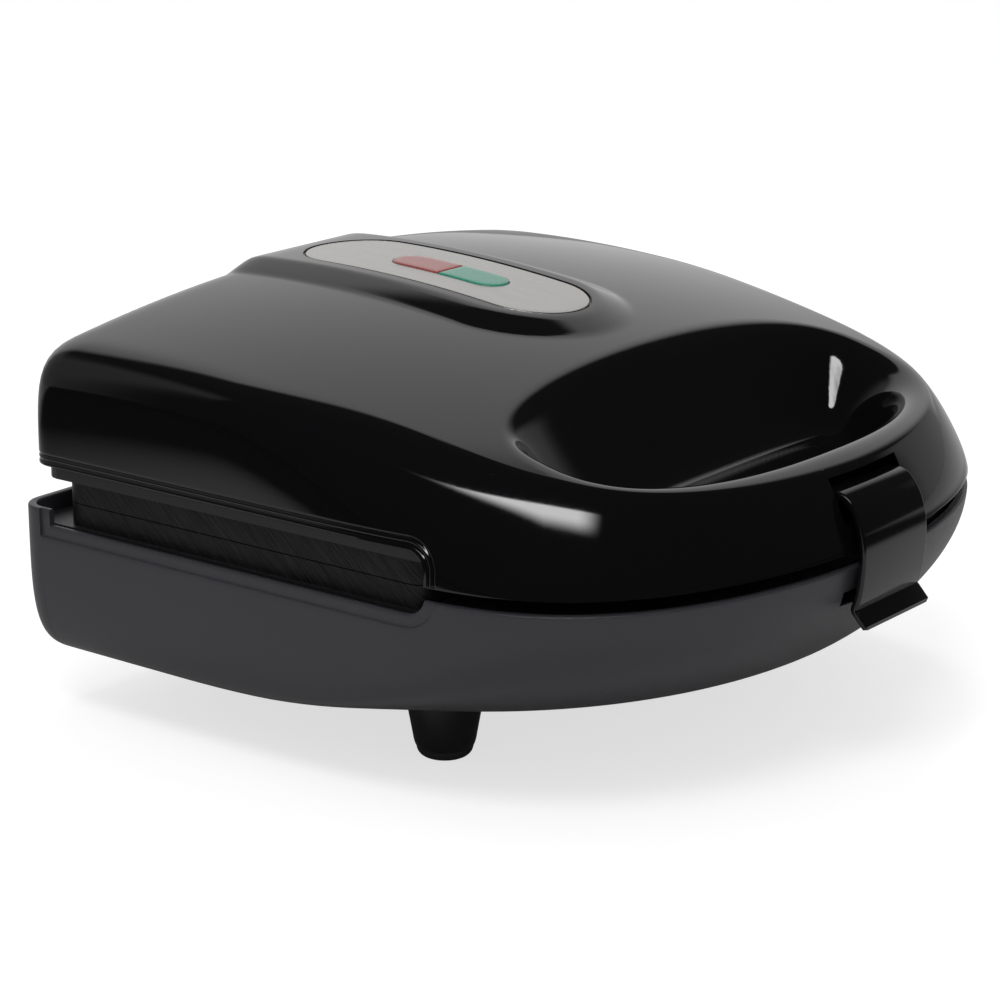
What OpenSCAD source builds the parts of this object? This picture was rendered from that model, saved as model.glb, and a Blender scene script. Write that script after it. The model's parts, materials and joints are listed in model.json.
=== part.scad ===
// Sandwich toaster: a base tub on four feet and a crowned lid, hinged at the
// rear, each holding a cast cooking plate over a tubular heating element.
// Frame: X to the user's right, Y to the rear, Z up, the floor at Z = 0.

/* [Body] */
// Distance from the ends of the cooking plates to the sides
side_rim = 5.2; // [4.4:0.1:10]
// Reach of the nose ahead of the side windows
nose_reach = 72.3; // [68:0.1:82]
// Height of the base housing
base_h = 43; // [39:0.5:48]
// Thickness of the moulded housings
wall_t = 2.5; // [2:0.1:3]
// Radius of the rear corners seen from above
corner_r = 8.4; // [6:0.1:12]
// Length of the rear rim, behind the side windows
rear_rim = 12.9; // [12.5:0.1:14]

/* [Nose] */
// Length of the blunt nose ahead of the straight sides
nose_len = 99; // [90:1:108]
// Fullness of the nose along X
nose_full_x = 1.9; // [1.8:0.05:2.2]
// Fullness of the nose along Y
nose_full_y = 3.4; // [2.8:0.1:3.8]

/* [Belly] */
// Setback of the flat bottom from each side
belly_side = 14.7; // [12:0.1:18]
// Setback of the flat bottom from the rear wall
belly_rear = 11; // [9:0.5:12]
// Setback of the flat bottom from the tip of the nose
belly_front = 61; // [50:1:66]
// Squareness of the side and rear bottom edges
belly_square = 4.5; // [3:0.1:6]

/* [Lid] */
// Groove between the base and the lid round the nose
lid_gap = 3.7; // [2.5:0.1:5]
// Height of the crown above the base, over the middle of the plates
crown_h = 55.6; // [50:0.2:62]
// Rise of the crown towards the rear, in mm per mm
crown_slope = 0.086; // [0.06:0.002:0.1]
// Height of the crown above the base at the tip of the nose
crown_tip = 21.5; // [18:0.5:25]
// Fall of the crown at the sides
crown_fall = 9.8; // [6:0.2:12]
// Reach of the lid's side shoulder
shoulder_side = 21.7; // [17:0.1:24]
// Reach of the lid's rear shoulder
shoulder_rear = 22.6; // [17:0.1:25]
// Reach of the lid's nose shoulder
shoulder_nose = 9.1; // [7:0.1:12]
// Setback of the lid's rear wall from the base's rear wall
lid_setback = 5.4; // [4.5:0.1:6.5]

/* [Ridge] */
// Width of the raised ridge at its foot
ridge_w = 66.4; // [62:0.2:74]
// Width of the flat top of the ridge
ridge_top_w = 45; // [43:0.5:50]
// Height of the ridge above the lid
ridge_h = 2.4; // [1.5:0.1:3]
// Front end of the ridge, ahead of the trim plate
ridge_nose = 13; // [10:0.5:16]

/* [Trim plate] */
// Width of the steel trim plate
trim_w = 35; // [30:0.5:37]
// Length of the steel trim plate
trim_l = 97; // [85:1:105]
// Thickness of the steel trim plate
trim_t = 1; // [0.8:0.1:1.4]
// Distance from the lid's rear wall to the trim plate
trim_rear = 15.2; // [12:0.1:20]
// Width of the groove round the trim plate
trim_gap = 0.8; // [0.4:0.1:1.2]
// Length of the two lamp lenses together
lens_l = 40; // [30:0.5:48]
// Width of the lamp lenses
lens_w = 12.4; // [10:0.2:16]
// Distance from the rear end of the trim plate to the middle of the lenses
lens_pos = 50.6; // [40:0.1:60]

/* [Finger recess] */
// Distance from the sides to the finger recess
scoop_side = 31; // [28:0.5:45]
// Length of the recess behind its widest line
scoop_rear = 23.8; // [20:0.2:28]
// Length of the recess ahead of its widest line
scoop_front = 38.3; // [32:0.2:40]
// Width of the grip bar between the recess and the tip of the nose
grip_w = 16.8; // [15:0.2:20]
// Height of the recess floor above the lid's lower edge
scoop_floor = 7; // [6:0.5:12]
// Width of the recess's sloping wall, from its rim to its floor
scoop_wall_w = 16.5; // [15:0.5:24]
// Reach of the soft lip to either side of the rim
scoop_lip = 4.4; // [3:0.2:5]

/* [Side windows] */
// Spare length of each side window along the plates
window_play = 2.2; // [1:0.1:4]
// Drop of the window's ledge below the top edge of the base
window_ledge = 4.6; // [3.5:0.1:6]
// Height of the window between base and lid
window_h = 17.5; // [16.5:0.1:20]
// Radius of the window's front corners
window_r = 6; // [4:0.5:8]
// Width of the sunk border under the window
border_w = 3.4; // [2:0.2:5]
// Depth of the sunk border
border_t = 0.7; // [0.4:0.1:1]

/* [Cooking plates] */
// Width of each cooking plate
plate_w = 209; // [196:0.5:211]
// Depth of each cooking plate
plate_d = 134; // [120:0.5:136]
// Height of the plates' visible edge
plate_edge = 6.5; // [5.5:0.1:6.8]
// Thickness of the cast web
plate_web = 2.8; // [2.4:0.1:3.4]
// Depth of the sandwich pockets
pocket_depth = 11; // [8:0.5:12]
// Width of the sealing rib between pockets
rib_w = 7; // [5:0.5:9]
// Gap between the closed plates
plate_gap = 0.3; // [0.2:0.1:0.6]
// Overlap of the plate's edge on its frame
plate_lap = 3; // [2.5:0.1:4]

/* [Heating] */
// Diameter of the tubular heating element
element_d = 6.5; // [5:0.1:7]
// Distance from the plate's ends to the element's loop
element_side = 29.5; // [26:0.5:45]
// Distance from the plate's long edges to the element's loop
element_edge = 26; // [24:0.5:32]
// Bend radius of the element
element_r = 20; // [16:1:26]
// Sheet thickness of the heat reflectors
reflector_t = 0.8; // [0.6:0.1:1.2]
// Space under the element
reflector_gap = 4; // [3:0.5:6]

/* [Feet] */
// Height of the feet under the base
foot_h = 19.5; // [15:0.5:24]
// Diameter of a foot at its top
foot_top_d = 23; // [20:0.5:26]
// Diameter of a foot at its tip
foot_tip_d = 18; // [15:0.5:20]
// Rounding of a foot's tip
foot_round = 5; // [3:0.5:6]
// Height of the rubber pad at the tip
pad_h = 3; // [2:0.5:4]
// Distance of the front feet from the sides
front_foot_side = 46.7; // [40:0.5:55]
// Distance of the front feet ahead of the rear wall
front_foot_y = 119; // [105:1:125]
// Distance of the rear feet from the sides
rear_foot_side = 67.7; // [60:0.5:74]
// Distance of the rear feet ahead of the rear wall
rear_foot_y = 26; // [24:1:34]

/* [Hinge] */
// Distance of each hinge from the sides
hinge_side = 47.7; // [40:0.5:58]
// Height of the hinge pins above the base
hinge_rise = 6.5; // [6:0.1:7.5]
// Setback of the hinge pins from the rear wall
hinge_setback = 4.95; // [4.7:0.05:5.2]
// Radius of the hinge knuckles
knuckle_r = 4.5; // [4:0.1:4.6]
// Width of the lid's hinge arms
arm_w = 17.4; // [14:0.2:20]
// Thickness of each ear of the hinge brackets
ear_t = 4; // [3:0.2:5]
// Diameter of the hinge pins
pin_d = 4; // [3:0.1:4.4]

/* [Latch] */
// Width of the latch
latch_w = 32.6; // [28:0.2:36]
// Thickness of the latch
latch_t = 2.2; // [1.8:0.1:2.6]
// Space between the latch and the nose
latch_gap = 0.9; // [0.7:0.1:1.2]
// Setback of the latch pin from the tip of the nose
latch_pin_in = 9.5; // [9:0.1:10.5]
// Height of the latch pin above the lid's lower edge
latch_pin_up = 13; // [12:0.2:14]
// Diameter of the latch pin
latch_pin_d = 3; // [2.4:0.1:3.2]
// Depth of the latch below the top edge of the base
latch_drop = 12.4; // [11:0.2:14]
// Height of the thumb tab
tab_h = 4.4; // [3:0.2:5.5]
// Reach of the thumb tab
tab_reach = 4.2; // [3:0.2:5.5]

/* [Cord inlet] */
// Bore of the cord inlet bush
inlet_bore = 6.6; // [5:0.1:8]
// Diameter of the bush in the rear wall
inlet_d = 10; // [9:0.1:12]
// Reach of the bush's collar behind the rear wall
inlet_reach = 2; // [1:0.1:3]
// Height of the cord inlet above the belly
inlet_up = 21; // [17:0.5:25]

/* [Screws] */
// Shank diameter of the housing screws
screw_d = 3; // [2.5:0.1:3.5]
// Head diameter of the housing screws
screw_head_d = 6.5; // [5.5:0.1:7]
// Shank diameter of the lid's screws
lid_screw_d = 2.4; // [2:0.1:2.6]
// Head diameter of the lid's screws
lid_head_d = 4.6; // [4:0.1:4.8]
// Clearance of a screw in the piece that it passes
screw_play = 0.5; // [0.2:0.1:0.8]

/* [Fits] */
// Running clearance round a pin
pin_play = 0.05; // [0.02:0.01:0.1]
// Side play between moving pieces
side_play = 0.35; // [0.3:0.05:0.6]
// Gap between a frame and the housing round it
frame_play = 0.7; // [0.5:0.1:1]
// Further gap round the nose, where the housings lean inwards
nose_play = 1.5; // [1.4:0.1:1.8]

/* [Hidden] */
e = 0.01;
far = 400;

black = [0.03, 0.03, 0.035];
charcoal = [0.2, 0.2, 0.21];
cast_grey = [0.3, 0.3, 0.31];
steel = [0.72, 0.71, 0.69];

// Main levels, from the floor up
belly_z = foot_h;
top_z = belly_z + base_h;
ledge_z = top_z - window_ledge;
seam_z = ledge_z + plate_edge;
upper_z = seam_z + plate_gap;
frame_z = upper_z + plate_edge;
sill_z = ledge_z + window_h;
lid_z = top_z + lid_gap;
frame_t = 2.4;
deck_drop = 1.2;

// The cooking plates set the plan of the housings
body_w = plate_w + 2 * side_rim;
window_len = plate_d + window_play;
body_d = rear_rim + window_len + nose_reach;
element_w = plate_w - 2 * element_side;
element_l = plate_d - 2 * element_edge;

// Main places along Y: the latch's tab and the inlet's collar reach past the body
crease_in = 2.1;
tab_tip = latch_gap + latch_t / 2 - crease_in + tab_reach + latch_t * 0.36;
body_shift = (tab_tip - inlet_reach) / 2;
rear_y = body_d / 2 + body_shift;
nose_y = rear_y - body_d;
side_x = body_w / 2;
nose_yc = nose_y + nose_len;
window_rear_y = rear_y - rear_rim;
window_front_y = window_rear_y - window_len;
lid_rear_y = rear_y - lid_setback;
plate_y = (window_rear_y + window_front_y) / 2 + 0.4;
crown_y = plate_y + 3;
hinge_x = side_x - hinge_side;
pin_y = rear_y - hinge_setback;
pin_z = top_z + hinge_rise;
arm_y = plate_y + plate_d / 2 + 0.5;
ear_x = arm_w / 2 + side_play;
bracket_t = 2;

function blend(a, b, v) = let (t = min(1, max(0, (v - a) / (b - a)))) t * t * (3 - 2 * t);
function mix(a, b, f) = a + (b - a) * f;
function signed_pow(v, p) = sign(v) * pow(abs(v), p);
// How far a place along the side belongs to the rounder nose (1) or to the square rear (0)
function nose_share(y) = blend(nose_yc + 48, nose_yc - 68, y);

// Plan outline, counter-clockwise from above: rear wall, rear corner, straight
// side and a blunt superelliptic nose, then the same mirrored
function outline(w_rear, w_nose, y_rear, r, y_c, len, fx, fy) =
    let (
        corner = [for (a = [90:22.5:180]) [-w_rear + r + r * cos(a), y_rear - r + r * sin(a)]],
        flank = [for (i = [1:6]) let (f = i / 7) [-mix(w_rear, w_nose, f), mix(y_rear - r, y_c, f)]],
        nose = [for (a = concat([180, 180.4, 182, 184], [for (b = [186:6:264]) b]))
            [w_nose * signed_pow(cos(a), 2 / fx), y_c + len * signed_pow(sin(a), 2 / fy)]],
        back = [for (i = [1:3]) [-(w_rear - r) * i / 4, y_rear]],
        half = concat(back, corner, flank, nose)
    )
    concat(
        [[0, y_rear]], half, [[0, y_c - len]],
        [for (i = [len(half) - 1:-1:0]) [-half[i].x, half[i].y]]
    );
function body_outline(inset, y_rear) =
    outline(side_x - inset, side_x - inset, y_rear - inset, max(corner_r - inset, 1.5),
        nose_yc, nose_len - inset, nose_full_x, nose_full_y);

// A closed solid through a stack of rings of equally many points, capped by fans
module ring_solid(rings) {
    n = len(rings[0]);
    m = len(rings);
    middle = function (r) [for (k = [0:2]) [for (p = r) p[k]] * [for (p = r) 1] / n];
    points = concat([for (r = rings) each r], [middle(rings[0]), middle(rings[m - 1])]);
    sides = [for (j = [0:m - 2], i = [0:n - 1]) let (k = (i + 1) % n, a = j * n, b = a + n)
        each [[a + i, b + k, a + k], [a + i, b + i, b + k]]];
    low = [for (i = [0:n - 1]) [m * n, i, (i + 1) % n]];
    high = [for (i = [0:n - 1]) [m * n + 1, (m - 1) * n + (i + 1) % n, (m - 1) * n + i]];
    polyhedron(points, concat(sides, low, high));
}
module slab(z0, z1) { translate([0, 0, z0]) linear_extrude(z1 - z0) children(); }
module round_rect(w, l, r) {
    for (x = [-1, 1], y = [-1, 1]) translate([x * (w / 2 - r), y * (l / 2 - r)]) circle(r, $fn = 48);
    square([w - 2 * r, l], center = true);
    square([w, l - 2 * r], center = true);
}
module stadium(w, l) {
    for (s = [-1, 1]) translate([0, s * (l - w) / 2]) circle(w / 2, $fn = 64);
    square([w, l - w], center = true);
}
module both_sides() { for (s = [0, 1]) mirror([s, 0, 0]) children(); }
// Extrudes a YZ profile along X
module along_x(x0, x1) { translate([x0, 0, 0]) rotate([90, 0, 90]) linear_extrude(x1 - x0) children(); }
module band_2d(y0, y1) { translate([-far / 2, y0]) square([far, y1 - y0]); }
module rod(p, q, d) {
    v = q - p;
    translate(p) rotate([0, acos(v.z / norm(v)), atan2(v.y, v.x)]) cylinder(h = norm(v), d = d, $fn = 32);
}

/* Forms of the two housings */

belly_yc = nose_yc + 78;

// The tub narrows from the top edge to a smaller flat belly, squarely at the
// sides and in a long sweep under the nose
module tub(inset, z0, z1, steps) {
    belly_w = side_x - belly_side - inset * 0.4;
    top = body_outline(inset, rear_y);
    low = outline(belly_w, belly_w, rear_y - belly_rear - inset * 0.4, corner_r, belly_yc,
        belly_yc - nose_y - belly_front - inset * 0.4, 1.85, 1.8);
    rings = [for (i = [steps:-1:0]) let (phi = 90 * i / steps) [for (k = [0:len(top) - 1])
        let (
            power = 2 / mix(belly_square, 2, nose_share(top[k].y)),
            p = mix(top[k], low[k], 1 - pow(cos(phi), power))
        )
        [p.x, p.y, z1 - (z1 - z0) * pow(sin(phi), power)]]];
    rim = [for (p = top) [p.x, p.y, z1 + 5]];
    ring_solid(inset > 0 ? concat(rings, [rim]) : rings);
}

// Height of the lid's crown, and of its middle line
crown_v = nose_y - crown_y;
crown_bend = (crown_h + crown_slope * crown_v - crown_tip) / pow(crown_v, 2);
function crown_line(y) = let (v = y - crown_y) top_z + crown_h + crown_slope * v - crown_bend * v * v;
function crown(x, y) = crown_line(y) - crown_fall * pow(abs(x) / (side_x - 4.7), 1.92);

// The lid rises from its lower edge over a shoulder, square at the rear and
// round at the nose, to the crown
rear_square = 0.33;
nose_round = 1.5;
module dome(inset, steps) {
    foot = body_outline(inset, lid_rear_y);
    share = nose_share(nose_yc);
    w_nose = side_x - mix(shoulder_side, shoulder_nose, share) - inset;
    top = outline(side_x - shoulder_side - inset, w_nose, lid_rear_y - shoulder_rear - inset, corner_r,
        nose_yc, nose_len - shoulder_nose - inset, nose_full_x, nose_full_y);
    rings = [for (i = [0:steps]) let (phi = 90 * i / steps) [for (k = [0:len(foot) - 1])
        let (
            power = mix(rear_square, nose_round, nose_share(foot[k].y)),
            p = mix(foot[k], top[k], 1 - pow(cos(phi), power))
        )
        [p.x, p.y, lid_z + (crown(p.x, p.y) - inset - lid_z) * pow(sin(phi), power)]]];
    inner = [for (f = [0.85, 0.65, 0.45, 0.25, 0.08]) [for (p = top)
        [p.x * f, p.y * f, crown(p.x * f, p.y * f) - inset]]];
    rim = [for (p = foot) [p.x, p.y, lid_z - 5]];
    ring_solid(concat(inset > 0 ? [rim] : [], rings, inner));
}

// A side window seen along X, with round front corners; it is open to the rear
module window_2d(grow, y_end) {
    r = window_r + grow;
    y0 = window_front_y - grow;
    for (z = [ledge_z - grow + r, sill_z + grow - r]) translate([y0 + r, z]) circle(r, $fn = 48);
    translate([y0 + r, ledge_z - grow]) square([y_end - y0 - r, window_h + 2 * grow]);
    translate([y0, ledge_z - grow + r]) square([r + 1, window_h + 2 * grow - 2 * r]);
}

/* Base */

base_posts = [for (s = [-1, 1]) each [
    [s * (side_x - 54.7), window_front_y - 6.5], [s * (side_x - 19.7), rear_y - 7.4]]];
boss_d = screw_d + 4;
pillar_d = screw_head_d + screw_play + 3.2;
post_z = belly_z + 10.5;
seat_z = belly_z + 6.5;
front_foot_x = side_x - front_foot_side;
rear_foot_x = side_x - rear_foot_side;
foot_spots = [
    [-front_foot_x, rear_y - front_foot_y], [front_foot_x, rear_y - front_foot_y],
    [-rear_foot_x, rear_y - rear_foot_y], [rear_foot_x, rear_y - rear_foot_y]
];
peg_d = 8;
inlet_z = belly_z + inlet_up;
slot_z = top_z - latch_drop + 1.6;
hook_h = 2.5;

module belly_vents() {
    for (s = [-1, 1], i = [0:5]) translate([s * 16, plate_y - 30 + 10 * i, belly_z - 1])
        linear_extrude(wall_t + 2) rotate(90) stadium(3, 22);
}
module base_shell() {
    color(charcoal) difference() {
        tub(0, belly_z, top_z, 9);
        difference() {
            tub(wall_t, belly_z + wall_t, top_z, 7);
            for (p = base_posts) translate([p.x, p.y, 0]) cylinder(h = post_z, d = pillar_d, $fn = 32);
        }
        for (p = base_posts) translate([p.x, p.y, 0]) {
            cylinder(h = far, d = screw_d + screw_play, $fn = 32);
            cylinder(h = seat_z, d = screw_head_d + screw_play, $fn = 32);
        }
        for (p = foot_spots) translate([p.x, p.y, 0]) cylinder(h = belly_z + 2 * wall_t, d = peg_d, $fn = 32);
        translate([0, rear_y - wall_t * 2, inlet_z]) rotate([-90, 0, 0])
            cylinder(h = far, d = inlet_d + 0.2, $fn = 48);
        both_sides() {
            along_x(side_x - border_t, far) window_2d(border_w, window_rear_y + border_w);
            along_x(side_x - wall_t - 3, far) window_2d(0, window_rear_y);
        }
        translate([0, nose_y, slot_z + 2]) cube([latch_w + 4.4, 14, 4.2], center = true);
        belly_vents();
    }
}

deck_z = top_z - deck_drop;
web_y = window_front_y - 1;
module deck_2d(y_rear, rim = 0) {
    inset = wall_t + frame_play + rim;
    polygon(outline(side_x - inset, side_x - inset - nose_play, y_rear - inset,
        max(corner_r - inset, 1.5), nose_yc, nose_len - inset - nose_play, nose_full_x, nose_full_y));
}
module plate_hole_2d() {
    translate([0, plate_y]) round_rect(plate_w - 2 * plate_lap, plate_d - 2 * plate_lap, 5);
}
// A frame in two levels: z0 round the cooking plate and z1 over the hollow nose
module stepped_frame(y_rear, z0, z1) {
    slab(z0, z0 + frame_t) intersection() {
        deck_2d(y_rear);
        band_2d(web_y - frame_t, far);
    }
    slab(z1, z1 + frame_t) intersection() {
        deck_2d(y_rear);
        band_2d(-far, web_y);
    }
    slab(min(z0, z1), max(z0, z1) + frame_t) intersection() {
        deck_2d(y_rear);
        band_2d(web_y - frame_t, web_y);
    }
}
bracket_bosses = [for (s = [-1, 1], t = [-1, 1]) [s * hinge_x + t * 4.6, pin_y - 3]];
module base_deck() {
    color(black) difference() {
        union() {
            stepped_frame(rear_y, ledge_z - frame_t, deck_z - frame_t);
            for (p = base_posts) translate([p.x, p.y, post_z])
                cylinder(h = (p.y < web_y ? deck_z : ledge_z) - post_z - 1, d = boss_d, $fn = 32);
            for (p = bracket_bosses) translate([p.x, p.y, ledge_z - 9]) cylinder(h = 8, d = 6, $fn = 32);
        }
        translate([0, 0, ledge_z - 2 * frame_t]) linear_extrude(far) plate_hole_2d();
        for (p = base_posts) translate([p.x, p.y, post_z - 1]) cylinder(h = 12, d = screw_d, $fn = 32);
        for (p = bracket_bosses) translate([p.x, p.y, ledge_z - 8]) cylinder(h = 12, d = screw_d, $fn = 32);
    }
}
// A screw with a domed head below its seat, pointing up
module screw(seat, length, d, head_d) {
    translate([0, 0, seat - 2]) cylinder(h = 2, d = head_d, $fn = 32);
    translate([0, 0, seat - e]) cylinder(h = length + e, d = d, $fn = 32);
}
module base_screws() {
    color(steel) for (p = base_posts) translate([p.x, p.y, 0])
        screw(seat_z, post_z - seat_z + 10, screw_d, screw_head_d);
}

/* Cooking plates: the seam face lies at Z = 0 and the body above it */

block_top = [plate_w / 2 - 5.5, plate_d / 2 - 7];
block_end = plate_web + pocket_depth;
plate_bosses = [for (x = [-1, 1], y = [-1, 1]) [x * 50, y * (element_l / 2 + 8.5)]];
pan_z = block_end + element_d + reflector_gap;
module cell_2d() {
    translate([rib_w / 2, -block_top.y + 1]) square([block_top.x - rib_w / 2 - 1, 2 * block_top.y - 2]);
}
module pocket_2d(side, draft) {
    x0 = rib_w / 2;
    x1 = block_top.x - 1;
    y1 = block_top.y - 1;
    corner = side > 0 ? [x1, -y1] : [x0, y1];
    offset(r = 5, $fn = 24) offset(delta = -(5 + draft)) polygon([[x0, -y1], corner, [x1, y1]]);
}
module sandwich_pocket(side) {
    hull() {
        slab(-e, 0) pocket_2d(side, rib_w / 2 - 0.5);
        slab(pocket_depth - 1, pocket_depth) pocket_2d(side, rib_w / 2 + 5);
    }
}
module cooking_plate() {
    difference() {
        union() {
            difference() {
                slab(0, plate_edge) round_rect(plate_w, plate_d, 7);
                slab(plate_web, plate_edge + 1)
                    round_rect(plate_w - 2 * plate_lap, plate_d - 2 * plate_lap, 5);
            }
            both_sides() hull() {
                slab(plate_web - e, plate_web) cell_2d();
                slab(block_end - 1, block_end) offset(delta = -4) cell_2d();
            }
            for (p = plate_bosses) translate([p.x, p.y, block_end - e])
                cylinder(h = pan_z - block_end + e, d = 8, $fn = 32);
        }
        both_sides() for (s = [-1, 1]) sandwich_pocket(s);
        for (p = plate_bosses) translate([p.x, p.y, pan_z - 8]) cylinder(h = 9, d = screw_d, $fn = 32);
    }
}
// Places what belongs to the lower plate, or to the upper one
module at_lower() { translate([0, plate_y, seam_z]) mirror([0, 0, 1]) children(); }
module at_upper() { translate([0, plate_y, upper_z]) children(); }

module bend(x, y, r, a0) {
    translate([x, y, 0]) rotate(a0) rotate_extrude(angle = 90, $fn = 64)
        translate([r, 0]) circle(d = element_d, $fn = 24);
}
module heating_element() {
    w = element_w / 2;
    l = element_l / 2;
    r = element_r;
    exit_x = 14;
    exit_r = 7;
    translate([0, 0, block_end + element_d / 2]) {
        bend(w - r, l - r, r, 0);
        bend(-w + r, l - r, r, 90);
        bend(-w + r, -l + r, r, 180);
        bend(w - r, -l + r, r, 270);
        rod([-w + r, -l, 0], [w - r, -l, 0], element_d);
        for (s = [-1, 1]) {
            rod([s * w, -l + r, 0], [s * w, l - r, 0], element_d);
            rod([s * (exit_x + exit_r), l, 0], [s * (w - r), l, 0], element_d);
            bend(s * (exit_x + exit_r), l + exit_r, exit_r, s > 0 ? 180 : 270);
            rod([s * exit_x, l + exit_r, 0], [s * exit_x, l + exit_r + 5, 0], element_d);
            rod([s * exit_x, l + exit_r + 5, 0], [s * exit_x, l + exit_r + 9, 0], 2.5);
        }
    }
}
module heat_reflector() {
    pan = [plate_w - 2 * plate_lap - 4, plate_d - 2 * plate_lap - 3];
    rim_z = plate_edge + frame_t;
    difference() {
        union() {
            slab(rim_z, pan_z + reflector_t) round_rect(pan.x, pan.y, 6);
            slab(rim_z, rim_z + reflector_t) round_rect(plate_w - 2, plate_d - 2, 6);
        }
        slab(rim_z - 1, pan_z) round_rect(pan.x - 2 * reflector_t, pan.y - 2 * reflector_t, 5.2);
        for (p = plate_bosses) translate([p.x, p.y, pan_z - 1])
            cylinder(h = 3, d = screw_d + screw_play, $fn = 32);
        for (s = [-1, 1]) translate([s * 14, pan.y / 2 - 8, pan_z - 1]) cylinder(h = 3, d = 9, $fn = 32);
    }
}
module plate_screws() {
    for (p = plate_bosses) translate([p.x, p.y, 0]) {
        translate([0, 0, pan_z + reflector_t]) cylinder(h = 2, d = screw_head_d, $fn = 32);
        translate([0, 0, pan_z - 7]) cylinder(h = 7 + reflector_t + e, d = screw_d, $fn = 32);
    }
}
module lower_cooking_plate() { color(cast_grey) at_lower() cooking_plate(); }
module upper_cooking_plate() { color(cast_grey) at_upper() cooking_plate(); }
module lower_heating_element() { color([0.35, 0.3, 0.27]) at_lower() heating_element(); }
module upper_heating_element() { color([0.35, 0.3, 0.27]) at_upper() heating_element(); }
module lower_heat_reflector() { color(steel) at_lower() heat_reflector(); }
module upper_heat_reflector() { color(steel) at_upper() heat_reflector(); }
module lower_plate_screws() { color(steel) at_lower() plate_screws(); }
module upper_plate_screws() { color(steel) at_upper() plate_screws(); }

// A bimetal disc thermostat on the back of the lower plate, with two blade terminals
module thermostat() {
    color([0.85, 0.82, 0.75]) at_lower() translate([50, 0, block_end]) {
        cylinder(h = 1.2, d = 21, $fn = 48);
        cylinder(h = 6.5, d = 15, $fn = 48);
        for (s = [-1, 1]) translate([s * 4 - 0.4, -2.4, 6]) cube([0.8, 4.8, 3.6]);
    }
}
// A thermal fuse in a glass sleeve, held to the lower plate by a saddle clip
module thermal_fuse() {
    color([0.8, 0.78, 0.7]) at_lower() translate([-50, 0, block_end + 2.5]) {
        rod([0, -13, 0], [0, 13, 0], 5);
        rod([0, -17, 0], [0, 17, 0], 1.2);
        difference() {
            rod([0, -4, 0], [0, 4, 0], 6.6);
            translate([-5, -5, -7.5]) cube([10, 10, 5]);
        }
        for (s = [-1, 1]) translate([s * 5 - 2.2, -4, -2.5]) cube([4.4, 8, 0.8]);
    }
}
module terminal_block() {
    color([0.9, 0.88, 0.8]) translate([0, plate_y + 46, belly_z + wall_t]) difference() {
        translate([-18, -8, 0]) cube([36, 16, 12]);
        for (x = [-12, 0, 12]) {
            translate([x, 0, 6.5]) rotate([90, 0, 0]) cylinder(h = 20, d = 4.4, center = true, $fn = 32);
            for (y = [-4, 4]) translate([x, y, 6.5]) cylinder(h = 8, d = 3.6, $fn = 32);
        }
    }
}
module cord_inlet_bush() {
    color(black) translate([0, rear_y, inlet_z]) rotate([-90, 0, 0]) difference() {
        union() {
            cylinder(h = inlet_reach, d = inlet_d + 6, $fn = 64);
            translate([0, 0, -wall_t - 2.2]) cylinder(h = wall_t + 3, d = inlet_d, $fn = 48);
            translate([0, 0, -wall_t - 2.2]) cylinder(h = 1.8, d = inlet_d + 4, $fn = 64);
        }
        translate([0, 0, -10]) cylinder(h = 20, d = inlet_bore, $fn = 48);
    }
}

/* Feet */

module foot(spot) {
    color(black) translate([foot_spots[spot].x, foot_spots[spot].y, 0]) difference() {
        union() {
            rotate_extrude($fn = 64) polygon([
                [0, pad_h], [foot_tip_d / 2 - 1, pad_h],
                [foot_tip_d / 2, foot_round + 1], [foot_top_d / 2, belly_z], [0, belly_z]
            ]);
            translate([0, 0, belly_z - e]) cylinder(h = wall_t + e, d = peg_d, $fn = 32);
        }
        translate([0, 0, pad_h - e]) cylinder(h = 2.5, d = 6, $fn = 32);
    }
}
module front_left_foot() { foot(0); }
module front_right_foot() { foot(1); }
module rear_left_foot() { foot(2); }
module rear_right_foot() { foot(3); }
// Each pad carries on the foot's round tip and has a plug in it
module foot_pads() {
    r = foot_tip_d / 2 - 1;
    color([0.06, 0.06, 0.06]) for (p = foot_spots) translate([p.x, p.y, 0]) {
        rotate_extrude($fn = 64) polygon(concat(
            [[0, 0], [r - pad_h, 0]],
            [for (a = [15:15:75]) [r - pad_h + pad_h * sin(a), pad_h - pad_h * cos(a)]],
            [[r, pad_h], [0, pad_h]]
        ));
        translate([0, 0, pad_h - e]) cylinder(h = 2.2, d = 6, $fn = 32);
    }
}

/* Hinge */

module hinge_bracket(s) {
    color(steel) translate([s * hinge_x, 0, 0]) difference() {
        union() {
            slab(ledge_z, ledge_z + bracket_t) translate([-ear_x - ear_t, arm_y + 0.8])
                square([2 * (ear_x + ear_t), rear_y - wall_t - frame_play - arm_y - 1]);
            for (x = [-ear_x - ear_t, ear_x]) along_x(x, x + ear_t) {
                translate([pin_y, pin_z]) circle(knuckle_r, $fn = 48);
                translate([pin_y - knuckle_r, ledge_z])
                    square([rear_y - wall_t - frame_play - 0.2 - pin_y + knuckle_r, top_z + 1.6 - ledge_z]);
                translate([pin_y - knuckle_r, ledge_z]) square([knuckle_r + 2, pin_z - ledge_z]);
            }
        }
        translate([0, pin_y, pin_z]) rotate([0, 90, 0]) cylinder(h = 60, d = pin_d, center = true, $fn = 48);
        for (t = [-1, 1]) translate([t * 4.6, pin_y - 3, ledge_z - 1])
            cylinder(h = 5, d = screw_d + screw_play, $fn = 32);
    }
}
module bracket_screws() {
    color(steel) for (p = bracket_bosses) translate([p.x, p.y, ledge_z]) {
        translate([0, 0, bracket_t]) cylinder(h = 1.8, d = 5.5, $fn = 32);
        translate([0, 0, -7]) cylinder(h = 7 + bracket_t + e, d = screw_d, $fn = 32);
    }
}
module left_hinge_bracket() { hinge_bracket(-1); }
module right_hinge_bracket() { hinge_bracket(1); }
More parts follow.
